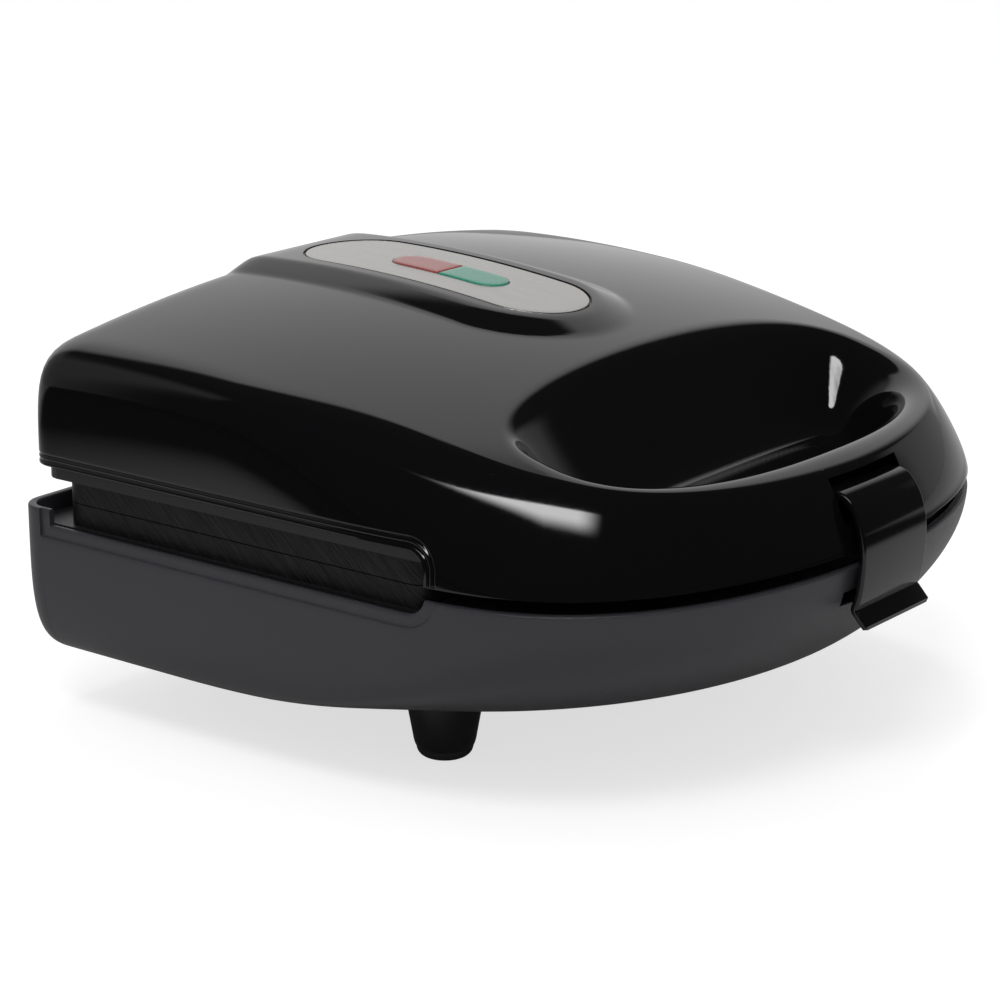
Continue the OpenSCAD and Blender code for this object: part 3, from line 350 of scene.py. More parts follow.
def crown(p, x, y):
    """Height of the crown: the line along the middle, less fall |x / w|^1.92."""
    w, power = p.side_x - 0.0047, 1.92
    return crown_line(p, y) - p.lid.crown_fall * (np.abs(x) / w) ** power


def ridge_line(p, y):
    """Height of the ridge's flat top."""
    return crown_line(p, y) + p.lid.ridge_h


def rounded(t, w):
    """0 below -w, t above w, and a parabola (t + w)^2 / 4w between."""
    return np.where(t < -w, 0.0, np.where(t > w, t, (t + w) ** 2 / (4 * w)))


def ramp(t, w):
    """A straight ramp from 0 to 1 with its two ends rounded over w."""
    return rounded(t, w) - rounded(t - 1, w)


def ridge_share(p, x, y):
    """1 on the ridge's flat top, 0 off the ridge: a ramp of the distance from its middle line."""
    r = p.lid.ridge_w / 2
    v = np.maximum(0, p.ridge_end + r - y)
    slope = r - p.lid.ridge_top_w / 2 - p.lid.ridge_fillet
    return 1 - ramp((np.hypot(x, v) - p.lid.ridge_top_w / 2) / slope, p.lid.ridge_fillet / slope)


def roof(p, x, y, ridge):
    """Height of the crown, with the ridge on it if ridge is set."""
    top = crown(p, x, y)
    return mix(top, ridge_line(p, y), ridge_share(p, x, y)) if ridge else top


def recess_rim(p, steps=720):
    """The recess seen from above: two half superellipses, as a closed ring of (x, y)."""
    l = p.lid
    a = full_turn(steps)
    rear = np.sin(a) > 0
    n = np.where(rear, 3.2, 2.2)
    reach = np.where(rear, l.scoop_rear, l.scoop_front)
    x = (p.side_x - l.scoop_side) * signed_pow(np.cos(a), 2 / n)
    return np.stack([x, p.nose_y + l.grip_w + l.scoop_front + reach * signed_pow(np.sin(a), 2 / n)], -1)


def rim_gap(p, x, y):
    """Distance from the recess's rim, positive inside, and the nearest place on the rim."""
    x, y = np.broadcast_arrays(np.asarray(x, float), np.asarray(y, float))
    at = np.stack([x.ravel(), y.ravel()], -1)
    rim = recess_rim(p)
    side = np.roll(rim, -1, 0) - rim
    best = np.full(len(at), np.inf)
    near = np.zeros_like(at)
    inside = np.zeros(len(at), bool)
    for a, v in zip(rim, side):
        t = np.clip(((at - a) @ v) / (v @ v), 0, 1)
        q = a + t[:, None] * v
        d = np.hypot(*(at - q).T)
        closer = d < best
        best[closer], near[closer] = d[closer], q[closer]
        crosses = (a[1] > at[:, 1]) != (a[1] + v[1] > at[:, 1])
        inside ^= crosses & (at[:, 0] < a[0] + v[0] * (at[:, 1] - a[1]) / (v[1] if v[1] else 1e-12))
    return np.where(inside, best, -best).reshape(x.shape), near.reshape(*x.shape, 2)


def recess_drop(p, d):
    """Share of the way from the crown down to the floor at a distance d inside the rim."""
    l = p.lid
    return ramp(d / l.scoop_wall, l.scoop_lip / l.scoop_wall)


def stadium_radius(turn, w, l):
    """Distance from the middle of a stadium, long along Y, to its edge in the direction turn."""
    a, h = w / 2, (l - w) / 2
    c, s = np.abs(np.cos(turn)), np.abs(np.sin(turn))
    side = a / np.maximum(c, 1e-9)
    cap = s * h + np.sqrt(np.maximum(a * a - (h * c) ** 2, 0))
    return np.where(side * s <= h, side, cap)


def stadium(turn, w, length, yc=0.0):
    """Points x, y on a stadium's edge, in the directions turn from its middle (0, yc)."""
    r = stadium_radius(turn, w, length)
    return r * np.cos(turn), yc + r * np.sin(turn)


def columns(p, y_rear, marks):
    """Places k round the left half of the outline, spread evenly by length and closer at the corner
    and near the marks, which are (y, spread, step) triples."""
    plain, corner, growth = 0.0017, 0.0006, 0.0012
    k = np.linspace(0, 4, 8001)
    x, y = body_outline(p, k, 0.0, y_rear)
    ds = np.hypot(np.diff(x), np.diff(y))
    ym = (y[1:] + y[:-1]) / 2
    km = (k[1:] + k[:-1]) / 2
    step = np.minimum(plain, corner + growth * np.abs(km - 1.5) / 0.5)
    for at, spread, fine in marks:
        step = np.minimum(step, fine + np.abs(ym - at) / spread * growth)
    total = np.concatenate([[0], np.cumsum(ds / step)])
    n = int(round(total[-1]))
    return np.interp(np.linspace(0, total[-1], n + 1), total, k)


def around(k):
    """Both halves of the outline as one closed loop: places and the sign of X."""
    loop = np.concatenate([k, k[-2:0:-1]])
    sign = np.concatenate([np.ones(len(k)), -np.ones(len(k) - 2)])
    return loop, sign


# ---------------------------------------------------------------- meshes

def outward(verts, faces):
    """The faces turned so that the closed surface has a positive volume."""
    halves = [f[:, [0, 2, 3]] for f in faces if f.shape[1] == 4]
    tris = np.concatenate([f[:, [0, 1, 2]] for f in faces] + halves)
    a, b, c = verts[tris[:, 0]], verts[tris[:, 1]], verts[tris[:, 2]]
    inside_out = np.einsum("ij,ij->i", a, np.cross(b, c)).sum() < 0
    return [f[:, ::-1] for f in faces] if inside_out else faces


def mesh_object(name, verts, faces, sharp=35.0):
    """A smooth-shaded mesh from vertices in metres and arrays of quads and triangles."""
    mesh = bpy.data.meshes.new(name)
    loops = np.concatenate([f.ravel() for f in faces])
    sizes = np.concatenate([np.full(len(f), f.shape[1]) for f in faces])
    mesh.vertices.add(len(verts))
    mesh.vertices.foreach_set("co", verts.ravel())
    mesh.loops.add(len(loops))
    mesh.loops.foreach_set("vertex_index", loops.astype(np.int32))
    mesh.polygons.add(len(sizes))
    mesh.polygons.foreach_set("loop_start", np.concatenate([[0], np.cumsum(sizes)[:-1]]).astype(np.int32))
    mesh.update(calc_edges=True)
    mesh.validate()
    mesh.polygons.foreach_set("use_smooth", np.ones(len(mesh.polygons), bool))
    mesh.set_sharp_from_angle(angle=math.radians(sharp))
    obj = bpy.data.objects.new(name, mesh)
    bpy.context.scene.collection.objects.link(obj)
    return obj


def ring_faces(rows, n, closed=False):
    """Quads between rows of n points each; closed joins the last row to the first."""
    r = np.arange(rows if closed else rows - 1)[:, None]
    c = np.arange(n)[None, :]
    d = (c + 1) % n
    s = (r + 1) % rows
    return np.stack([r * n + c, r * n + d, s * n + d, s * n + c], -1).reshape(-1, 4)


def fan(row_start, n, pole):
    """Triangles from a row of n points to a pole."""
    c = np.arange(n)
    return np.stack([row_start + c, row_start + (c + 1) % n, np.full(n, pole)], -1)


def tube(rows):
    """Vertices and faces of a surface through a stack of closed rings, capped by fans."""
    rows = np.asarray(rows, float)
    m, n = rows.shape[:2]
    verts = np.concatenate([rows.reshape(-1, 3), rows[0].mean(0)[None], rows[-1].mean(0)[None]])
    low = fan(0, n, m * n)[:, ::-1]
    high = fan((m - 1) * n, n, m * n + 1)
    return verts, [ring_faces(m, n), low, high]


def loop_solid(rows):
    """Vertices and faces of a closed surface through rings of which the last joins the first."""
    rows = np.stack(rows)
    return rows.reshape(-1, 3), [ring_faces(len(rows), rows.shape[1], closed=True)]


def joined(parts):
    """One set of vertices and faces from several closed parts, each facing outwards."""
    verts, faces, first = [], [], 0
    for v, fs in parts:
        v = np.asarray(v, float).reshape(-1, 3)
        faces += [f + first for f in outward(v, fs)]
        verts.append(v)
        first += len(v)
    return np.concatenate(verts), faces


def block(x0, x1, y0, y1, z0, z1):
    """A box as eight corners and six quads."""
    v = np.array([[x, y, z] for z in (z0, z1) for y in (y0, y1) for x in (x0, x1)])
    f = np.array([[0, 2, 3, 1], [4, 5, 7, 6], [0, 1, 5, 4], [2, 6, 7, 3], [0, 4, 6, 2], [1, 3, 7, 5]])
    return v, [f]


def revolve(centre, profile, n=64):
    """A profile of (radius, height) pairs turned about a vertical axis."""
    a = full_turn(n)
    r, z = np.asarray(profile, float).T
    x = centre[0] + r[:, None] * np.cos(a)
    y = centre[1] + r[:, None] * np.sin(a)
    return tube(np.stack([x, y, np.broadcast_to((centre[2] + z)[:, None], x.shape)], -1))


def sleeve(centre, profile, n):
    """A closed outline of (radius, height) pairs turned about a vertical axis."""
    verts, _ = revolve(centre, profile, n)
    return verts[:-2], [ring_faces(len(profile), n, closed=True)]


def prism(profile, x0, x1):
    """A closed YZ outline carried along X."""
    y, z = np.asarray(profile, float).T
    rows = [np.stack([np.full(len(y), x), y, z], -1) for x in (x0, x1)]
    return tube(rows)


def piece(name, parts, sharp=35.0):
    verts, faces = joined(parts)
    return mesh_object(name, verts, faces, sharp)


def merge(obj, others):
    """Joins closed parts that meet the piece inside its walls."""
    with bpy.context.temp_override(active_object=obj, object=obj, selected_objects=[obj, *others],
                                   selected_editable_objects=[obj, *others]):
        bpy.ops.object.join()


def cut(obj, cutters):
    """Takes the closed cutters out of the piece."""
    tool = piece("cutter", cutters)
    mod = obj.modifiers.new("openings", "BOOLEAN")
    mod.operation = "DIFFERENCE"
    mod.solver = "EXACT"
    mod.object = tool
    graph = bpy.context.evaluated_depsgraph_get()
    result = bpy.data.meshes.new_from_object(obj.evaluated_get(graph))
    obj.modifiers.clear()
    obj.data = result
    bpy.data.objects.remove(tool)
    result.polygons.foreach_set("use_smooth", np.ones(len(result.polygons), bool))
    result.set_sharp_from_angle(angle=math.radians(35))
    if not len(result.polygons):
        raise RuntimeError("a cut left nothing of " + obj.name)


def settle(obj, body, made, slot, node):
    """Gives a piece its material and its body, and lets it stand for the named node."""
    obj.data.materials.clear()
    obj.data.materials.append(made[slot])
    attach(obj, body)
    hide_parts(node)


# ---------------------------------------------------------------- base

def window_edge(p, y, grow, up):
    """Height of the side window's outline, grown by grow: its lower edge, or its upper one with up.
    The outline is straight between window_front and the rear, with a quarter circle at the front."""
    r = p.body.window_r + grow
    mid = p.sill_z + grow - r if up else p.ledge_z - grow + r
    run = np.clip(p.window_front - grow + r - y, 0, r)
    lift = np.sqrt(r * r - run * run)
    return mid + lift if up else mid - lift


def belly_power(p, y):
    """Squareness of the bottom edge at a place along the side."""
    return mix(p.body.belly_square, 2.0, nose_share(p, y))


def tub_points(p, k, turn, inset):
    """The base: p = top + (low - top)(1 - X), z = top - depth Z, with X, Z on a superellipse."""
    b = p.body
    low_in, full_x, full_y = inset * 0.4, 1.85, 1.8
    x1, y1 = body_outline(p, k, inset, p.rear_y)
    w = p.side_x - b.belly_side - low_in
    yc = p.nose_yc + 0.078
    x0, y0 = half_outline(k, w, w, p.rear_y - b.belly_rear - low_in, b.corner_r, yc,
                          yc - p.nose_y - b.belly_front - low_in, full_x, full_y)
    cx, cz = superellipse(turn, belly_power(p, y1))
    depth = p.top_z - p.belly_z - inset
    return np.stack([mix(x1, x0, 1 - cx), mix(y1, y0, 1 - cx), p.top_z - depth * cz], -1)


def base_skin(p):
    """Rings from the middle of the floor up the inside, over the rounded top edge, across the sunk
    border and down the outside to the middle of the belly."""
    b = p.body
    border_front, border_rear = p.window_front - b.border_w, p.window_rear + b.border_w
    k, sign = around(columns(p, p.rear_y, [
        (p.window_front, 0.008, 0.0001), (border_front, 0.012, 0.00012), (p.window_rear, 0.004, 0.00008),
        (border_rear, 0.003, 0.00012)]))
    x, y = body_outline(p, k, 0.0, p.rear_y)
    n = belly_power(p, y)
    window = (y > p.window_front) & (y < p.window_rear)
    edge = np.where(window, np.minimum(window_edge(p, y, 0, False), p.top_z), p.top_z)
    border = (y > border_front) & (y < border_rear)
    line = np.where(border, window_edge(p, y, b.border_w, False), p.top_z)
    line = np.minimum(line, edge - 0.0011)
    sunk = b.border_t * border
    r, fine = 0.0006, 0.00012

    def row(z, inset, extra=0.0):
        depth = p.top_z - p.belly_z - inset
        q = tub_points(p, k, turn_at((p.top_z - z) / depth, n), inset + extra)
        q[:, 2] = z
        return q

    rows = []
    for f in np.linspace(1, 0, 14)[:-1]:
        turn = mix(turn_at((p.top_z - edge + r) / (p.top_z - p.belly_z - b.wall), n), math.pi / 2, f)
        rows.append(tub_points(p, k, turn, b.wall))
    rows += [row(edge - drop, b.wall - setback) for setback, drop in rounding(r, 0, 30, 60, 90)]
    rows += [row(edge - drop, setback, sunk) for setback, drop in rounding(r, 90, 68, 45, 22, 0)]
    rows += [row(mix(edge - r, line + fine, f), 0.0, sunk) for f in (0.33, 0.66)]
    for lift, share in ((fine, 1.0), (0.0, 0.8), (-fine, 0.25), (-2 * fine, 0.05), (-3.5 * fine, 0.0)):
        rows.append(row(line + lift, 0.0, sunk * share))
    start = turn_at((p.top_z - line + 3.5 * fine) / (p.top_z - p.belly_z), n)
    rows += [tub_points(p, k, mix(start, math.pi / 2, f), 0.0) for f in np.linspace(0, 1, 46)[1:]]
    last = tub_points(p, k, np.full(len(k), math.pi / 2), 0.0)
    for f in (0.75, 0.5, 0.25, 0.08):
        middle = mix(p.nose_yc + 0.03, last[:, 1], f)
        rows.append(np.stack([last[:, 0] * f, middle, np.full(len(k), p.belly_z)], -1))
    rows = np.stack(rows)
    rows[:, :, 0] *= sign
    return tube(rows)


def belly_height(p, x, y):
    """Height of the middle of the tub's wall over the places x, y: that of the nearest point of a fine
    grid of its lower part. Over the flat belly that point is on the flat's edge, at the same height."""
    first_turn = 0.3
    k, turn = np.meshgrid(np.linspace(0, 4, 1201), np.linspace(first_turn, math.pi / 2, 120))
    q = tub_points(p, k.ravel(), turn.ravel(), p.body.wall / 2)
    gap = (q[:, 0] + np.abs(x)[:, None]) ** 2 + (q[:, 1] - y[:, None]) ** 2
    return q[gap.argmin(1), 2]


def base_posts(p):
    """The screw posts: tubes with a wide lower bore for the screw's head, which end in the tub's wall."""
    n = 48
    head, bore, outside = 0.00348, 0.00175, 0.0051
    seat, low = p.seat_z, p.seat_z - 0.001
    parts = []
    for x, y in p.base_posts:
        verts, faces = sleeve((x, y, 0), [
            (head, low), (head, seat), (bore, seat), (bore, p.post_z), (outside, p.post_z), (outside, low)], n)
        for foot in (verts[:n], verts[5 * n:]):
            foot[:, 2] = np.minimum(belly_height(p, foot[:, 0], foot[:, 1]), seat - 0.0002)
        parts.append((verts, faces))
    return parts


def base_cutters(p):
    """Vents, screw heads, the cord's hole and the latch's slot."""
    past = 0.001
    vent_w, vent_l, vent_x, vent_y, vent_step = 0.003, 0.022, 0.016, p.plate_y - 0.03, 0.01
    head_r, cord_r, cord_z = 0.0035, 0.0051, p.belly_z + 0.021
    tools = []
    a = full_turn(48)
    r = stadium_radius(a + math.pi / 2, vent_w, vent_l)
    for s in (-1, 1):
        for i in range(6):
            x, y = s * vent_x + r * np.cos(a), vent_y + vent_step * i + r * np.sin(a)
            tools.append(tube([np.stack([x, y, np.full(len(a), z)], -1)
                               for z in (p.belly_z - past, p.belly_z + p.body.wall + past)]))
    for x, y in p.base_posts:
        tools.append(revolve((x, y, 0), [(head_r, p.belly_z - past), (head_r, p.seat_z - 0.0001)], 48))
    a = full_turn(64)
    tools.append(tube([np.stack([cord_r * np.cos(a), np.full(len(a), y), cord_z + cord_r * np.sin(a)], -1)
                       for y in (p.rear_y - 0.006, p.rear_y + 0.002)]))
    w, reach = p.slot_w / 2, 0.007
    tools.append(block(-w, w, p.nose_y - reach, p.nose_y + reach, p.slot_z - 0.0001, p.slot_z + 0.0041))
    return tools


# ---------------------------------------------------------------- lid

def lid_height(p, x, y, inset, ridge):
    """Height of the lid inside its shoulder: the crown, mixed with the ridge, lowered towards the rear
    wall by the shoulder's curve and towards the finger recess's floor by the recess's ramp."""
    l = p.lid
    f = np.clip((p.lid_rear - inset - y) / l.shoulder_rear, 1e-6, 1)
    n = 2 / l.rear_square
    rise = np.maximum(1 - (1 - f) ** n, 0) ** (1 / n)
    z = p.lid_z + (roof(p, x, y, ridge) - inset - p.lid_z) * rise
    gap, _ = rim_gap(p, x, y)
    floor = p.lid_z + l.scoop_floor - inset
    return z - (z - floor) * recess_drop(p, gap + 0.88 * inset)


def gathered(p, x, y):
    """Moves places towards the recess's rim, so that the grid is finest where the lip turns: the
    distance d from the rim becomes d (1 - 0.6 exp(-(d / 6 mm)^2))."""
    gap, near = rim_gap(p, x, y)
    share = 0.6 * np.exp(-(gap / 0.006) ** 2)
    return mix(x, near[..., 0], share), mix(y, near[..., 1], share)


def shoulder_power(p, y):
    """Power of the shoulder's superellipse at a place along the side."""
    return 2 / mix(p.lid.rear_square, p.lid.nose_round, nose_share(p, y))


def shoulder_points(p, k, turn, inset, ridge=True):
    """The lid's shoulder: p = foot + (top - foot)(1 - X), z = lower edge + rise Z."""
    l, b = p.lid, p.body
    x0, y0 = body_outline(p, k, inset, p.lid_rear)
    w = mix(l.shoulder_side, l.shoulder_nose, nose_share(p, np.array(p.nose_yc)))
    x1, y1 = half_outline(k, p.side_x - l.shoulder_side - inset, p.side_x - w - inset,
                          p.lid_rear - l.shoulder_rear - inset, b.corner_r, p.nose_yc,
                          b.nose_len - l.shoulder_nose - inset, b.nose_full_x, b.nose_full_y)
    cx, cz = superellipse(turn, shoulder_power(p, y0))
    x, y = mix(x0, x1, 1 - cx), mix(y0, y1, 1 - cx)
    return np.stack([x, y, p.lid_z + (roof(p, x, y, ridge) - inset - p.lid_z) * cz], -1)


def bead_depth(p, d):
    """Depth of the grooves at a distance d from the window's edge: t exp(-((d - c)/0.35 mm)^2), with
    their middles c at one and two bead widths."""
    l = p.lid
    return l.bead_t * sum(np.exp(-((d - n * l.bead_w) / 0.00035) ** 2) for n in (1, 2))


def lid_columns(p):
    """Places round the lid, the sign of their X, and the y and height of the lower edge there."""
    k, sign = around(columns(p, p.lid_rear, [(p.window_front, 0.03, 0.0001)]))
    x, y = body_outline(p, k, 0.0, p.lid_rear)
    low = np.where(y > p.window_front, window_edge(p, y, 0, True), p.lid_z)
    return k, sign, y, np.maximum(low, p.lid_z)


def lid_turn(p, k, z, inset):
    """The angle at which the shoulder of each column reaches the height z."""
    turn = np.zeros(len(k))
    n = shoulder_power(p, body_outline(p, k, inset, p.lid_rear)[1])
    for _ in range(6):
        q = shoulder_points(p, k, turn, inset)
        top = crown(p, q[:, 0], q[:, 1])
        turn = turn_at((z - p.lid_z) / (top - inset - p.lid_z), n)
    return turn


def shoulder_rings(p, k, start_z, inset, ridge, count):
    """Rings up the shoulder from the heights start_z to where the crown takes over: at the shoulder's
    top, but after 0.35 of its run at the rear."""
    n = shoulder_power(p, body_outline(p, k, inset, p.lid_rear)[1])
    handover = mix(0.35, 1.0, smooth(0.45, 0.95, k))
    start = lid_turn(p, k, start_z, inset)
    end = turn_at((1 - (1 - handover) ** n) ** (1 / n), n)
    end = np.where(handover > 0.999, math.pi / 2, end)
    rings = [shoulder_points(p, k, mix(start, end, f), inset, ridge) for f in np.linspace(0, 1, count)]
    rings[0][:, 2] = start_z
    return rings


def bead_rings(p, k, y_foot, r):
    """Rings close together above the lower edge, pressed in by the bead grooves' depth."""
    rings = []
    for grow in np.arange(2 * r, 2 * p.lid.bead_w + 0.0011, 0.0002):
        beside = y_foot > p.window_front - grow
        z = np.where(beside, window_edge(p, y_foot, grow, True), p.lid_z + r + 0.25 * grow)
        depth = bead_depth(p, np.where(beside, grow, p.window_front - y_foot))
        rings.append(shoulder_points(p, k, lid_turn(p, k, z, depth), depth))
        rings[-1][:, 2] = z
    return rings


def inward_rings(p, last, count, ridge, inset, w, length, yc, gather):
    """Rings from the shoulder's last one to a stadium, along rays from the trim plate's middle, and
    the rays' directions."""
    x, y = last[:, 0], last[:, 1]
    turn = np.arctan2(y - p.trim_y, x)
    x1, y1 = stadium(turn, w, length, yc)
    rings = []
    for f in np.linspace(0, 1, count)[1:]:
        qx, qy = mix(x, x1, f), mix(y, y1, f)
        if gather:
            gx, gy = gathered(p, qx, qy)
            share = min(1, 8 * f) * min(1, 12 * (1 - f))
            qx, qy = mix(qx, gx, share), mix(qy, gy, share)
        rings.append(np.stack([qx, qy, lid_height(p, qx, qy, inset, ridge)], -1))
    return rings, turn


def groove_rings(p, turn):
    """Rings down the groove round the trim plate, across the plate's seat and through the lens hole."""
    seat = p.trim.plate_t + 0.00002
    rings = []
    for inset, drop in ((0.00008, 0.00006), (0.0002, 0.00025), (0.0002, seat), (0.0008, seat)):
        x, y = stadium(turn, p.groove_w - 2 * inset, p.groove_l - 2 * inset, p.trim_y)
        rings.append(np.stack([x, y, lid_height(p, x, y, 0.0, True) - drop], -1))
    x, y = stadium(turn, p.hole_w, p.hole_l, p.lens_y)
    for drop in (seat, p.lid.ridge_h + p.body.wall):
        rings.append(np.stack([x, y, ridge_line(p, y) - drop], -1))
    return rings


def lip_rings(p, k, low, r):
    """Rings under the lid's lower edge, from the inside to the start of its rounded outer side."""
    wall = p.body.wall
    rings = []
    for inset, rise in [(wall - 0.0003, 0.0), (wall * 0.5, 0.0), *rounding(r, 90, 68, 45, 22)]:
        rings.append(shoulder_points(p, k, lid_turn(p, k, low, inset), inset))
        rings[-1][:, 2] = low + rise
    return rings


def lid_skin(p):
    """Rings from the lid's lower edge over the shoulder and crown to the trim plate's groove, down
    through the lens hole and back along the inside to the lower edge."""
    wall, r = p.body.wall, 0.0005
    k, sign, y_foot, low = lid_columns(p)
    beads = bead_rings(p, k, y_foot, r)
    outer = shoulder_rings(p, k, low + r, 0.0, True, 2)[:1] + beads
    outer += shoulder_rings(p, k, beads[-1][:, 2] + 0.0002, 0.0, True, 27)
    over, turn = inward_rings(p, outer[-1], 71, True, 0.0, p.groove_w, p.groove_l, p.trim_y, True)
    inside = shoulder_rings(p, k, low + 0.0003, wall, False, 9)
    under, _ = inward_rings(p, inside[-1], 14, False, wall, p.hole_w, p.hole_l, p.lens_y, False)
    top, back = outer + over + groove_rings(p, turn), under[-2::-1] + inside[::-1]
    rows = np.stack(top + back + lip_rings(p, k, low, r))
    rows[:, :, 0] *= sign
    return loop_solid(rows)


def lid_post(p, x, y, low):
    """A screw post that ends low in the lid's roof, which falls towards the shoulder, with its bore."""
    bore, outside = 0.0012, 0.0027
    top = float(lid_height(p, np.array(x), np.array(y), p.body.wall * 0.84, False))
    return sleeve((x, y, 0), [(bore, low), (outside, low), (outside, top), (bore, top)], 40)


def latch_pocket(p):
    """The walls of the latch's slot, behind the nose's skin."""
    t, w = 0.002, p.pocket_w / 2
    low, top, back = p.pocket_low, p.pocket_top, p.pocket_back
    skin = shoulder_points(p, np.full(60, 3.98), np.linspace(0, math.pi / 2, 60), 0.0012)
    skin = skin[(skin[:, 2] > low - t) & (skin[:, 2] < top + t)]
    outline = [(back + t, low - t), *[(y, z) for y, z in skin[:, 1:]], (back + t, top + t)]
    front_low, front_top = skin[0, 1] + 0.0002, skin[-1, 1] + 0.0004
    return [
        prism(outline, -w - t, -w), prism(outline, w, w + t),
        block(-w, w, front_low, back + t, low - t, low),
        block(-w, w, front_top, back + t, top, top + t),
        block(-w, w, back, back + t, low, top),
    ]


def lid_slot(p):
    """The opening in which the latch turns, as a cutter."""
    w = p.pocket_w / 2
    return [block(-w, w, p.nose_y - 0.005, p.pocket_back, p.pocket_low, p.pocket_top)]


# ---------------------------------------------------------------- trim, lenses, latch and feet

def trim_plate(p):
    """The steel plate: a stadium with softened edges and a stadium hole, bent along the crown."""
    t = p.trim
    a = full_turn(360)
    top, r, bevel = -0.0001, 0.00035, 0.0004
    under = top - (t.plate_t - 0.0001)

    def ring(w, length, yc, rise):
        x, y = stadium(a, w, length, yc)
        return np.stack([x, y, ridge_line(p, y) + rise], -1)

    rows = [ring(t.plate_w, t.plate_l, p.trim_y, under)]
    for setback, drop in rounding(r, 0, 30, 60, 90):
        rows.append(ring(t.plate_w - 2 * setback, t.plate_l - 2 * setback, p.trim_y, top - drop))
    for f in np.linspace(0, 1, 12)[1:]:
        w, length = mix(t.plate_w - 2 * r, p.hole_w + bevel, f), mix(t.plate_l - 2 * r, p.hole_l + bevel, f)
        rows.append(ring(w, length, mix(p.trim_y, p.lens_y, f), top))
    rows += [ring(p.hole_w, p.hole_l, p.lens_y, rise) for rise in (top - bevel / 2, under)]
    return loop_solid(rows)


def lens(p, s):
    """Half of the stadium lens, with a softened top edge."""
    t = p.trim
    a = full_turn(160)
    split = 0.00015

    def ring(inset, rise):
        x, y = stadium(a, t.lens_w - 2 * inset, t.lens_l - 2 * inset)
        y = p.lens_y + s * np.maximum(s * y, split + inset)
        return np.stack([x, y, crown_line(p, y) + rise], -1)

    top, r = p.lid.ridge_h + 0.0003, 0.0006
    rows = [ring(0.0, -p.body.wall - 0.004)]
    rows += [ring(setback, top - drop) for setback, drop in rounding(r, 0, 22, 45, 67, 90)]
    rows += [ring(inset, top + 0.00002) for inset in (0.0022, 0.004)]
    return tube(np.stack(rows))


def bezier(points, n):
    """n places along the cubic Bezier span that four control points give."""
    f = np.linspace(0, 1, n)[:, None]
    a, b, c, d = (np.array(q) for q in points)
    u = 1 - f
    return u ** 3 * a + 3 * u * u * f * b + 3 * u * f * f * c + f ** 3 * d


def strap_line(p):
    """The latch's middle line in the YZ plane: three Bezier spans and the straight thumb tab."""
    t, c = p.trim, p.crease
    y = p.nose_y - t.latch_gap - t.latch_t / 2
    top_start = (p.pin_y - 0.0016, p.pin_z + p.barrel_r - t.latch_t / 2 - 0.0001)
    low_start, turn_start = (y, p.lid_z - 0.001), c + [0, 0.0008]
    tab_start, tab_end = c + [-0.0008, -0.0007], c + [-t.tab_reach, -t.tab_h]
    top = bezier([top_start, (p.pin_y - 0.0064, p.pin_z + 0.0036), (y, p.pin_z - 0.0042), low_start], 22)
    low = bezier([low_start, (y, p.top_z - 0.0025), c + [-0.0013, 0.0039], turn_start], 12)
    turn = bezier([turn_start, c + [0, 0.0001], c + [-0.0003, -0.0002], tab_start], 7)
    tab = mix(tab_start, tab_end, np.linspace(0, 1, 9)[:, None])
    return np.concatenate([top, low[1:], turn[1:], tab[1:]])


def latch_body(p):
    """A rounded bar section carried down the strap's line, a barrel round the pin, and the hook."""
    t = p.trim
    half_w, half_t, r = t.latch_w / 2, t.latch_t / 2, 0.0008
    pin_r, chamfer = 0.00155, 0.0004
    line = strap_line(p)
    along = np.gradient(line, axis=0)
    along /= np.linalg.norm(along, axis=1)[:, None]
    across = np.stack([-along[:, 1], along[:, 0]], -1)
    a = full_turn(64) + math.pi / 64
    corner = np.floor(a / (math.pi / 2)) % 4
    sec_x = np.where((corner == 0) | (corner == 3), 1, -1) * (half_w - r) + r * np.cos(a)
    sec_t = np.where(corner < 2, 1, -1) * (half_t - r) + r * np.sin(a)
    run = np.concatenate([[0], np.cumsum(np.linalg.norm(np.diff(line, axis=0), axis=1))])
    end = run[-1] - run
    trim = np.where(end < r, r - np.sqrt(np.maximum(r * r - (r - end) ** 2, 0)), 0)[:, None]
    x = np.sign(sec_x) * np.maximum(np.abs(sec_x) - trim, 0)
    d = np.sign(sec_t) * np.maximum(np.abs(sec_t) - trim, 0)
    strap = tube(np.stack([x, line[:, :1] + across[:, :1] * d, line[:, 1:] + across[:, 1:] * d], -1))
    b = full_turn(72)
    barrel = loop_solid([
        np.stack([np.full(len(b), x), p.pin_y + radius * np.cos(b), p.pin_z + radius * np.sin(b)], -1)
        for x, radius in (
            (-half_w, pin_r), (-half_w, p.barrel_r - chamfer), (-half_w + chamfer, p.barrel_r),
            (half_w - chamfer, p.barrel_r), (half_w, p.barrel_r - chamfer), (half_w, pin_r))])
    c, z = p.crease, p.slot_z + 0.0013
    y = c[0] + 0.0036
    hook = prism([(c[0] - 0.0009, z + 0.0013), (y, z + 0.0013), (y, z), (y - 0.0026, z - 0.0012),
                  (c[0] - 0.0006, z - 0.0012)], -half_w + 0.002, half_w - 0.002)
    return [strap, barrel, hook]


def foot_spots(p):
    """Each foot's node and the place of its middle."""
    front, rear = p.side_x - 0.0467, p.side_x - 0.0677
    return {
        "front_left_foot": (-front, p.rear_y - 0.119), "front_right_foot": (front, p.rear_y - 0.119),
        "rear_left_foot": (-rear, p.rear_y - 0.026), "rear_right_foot": (rear, p.rear_y - 0.026)}


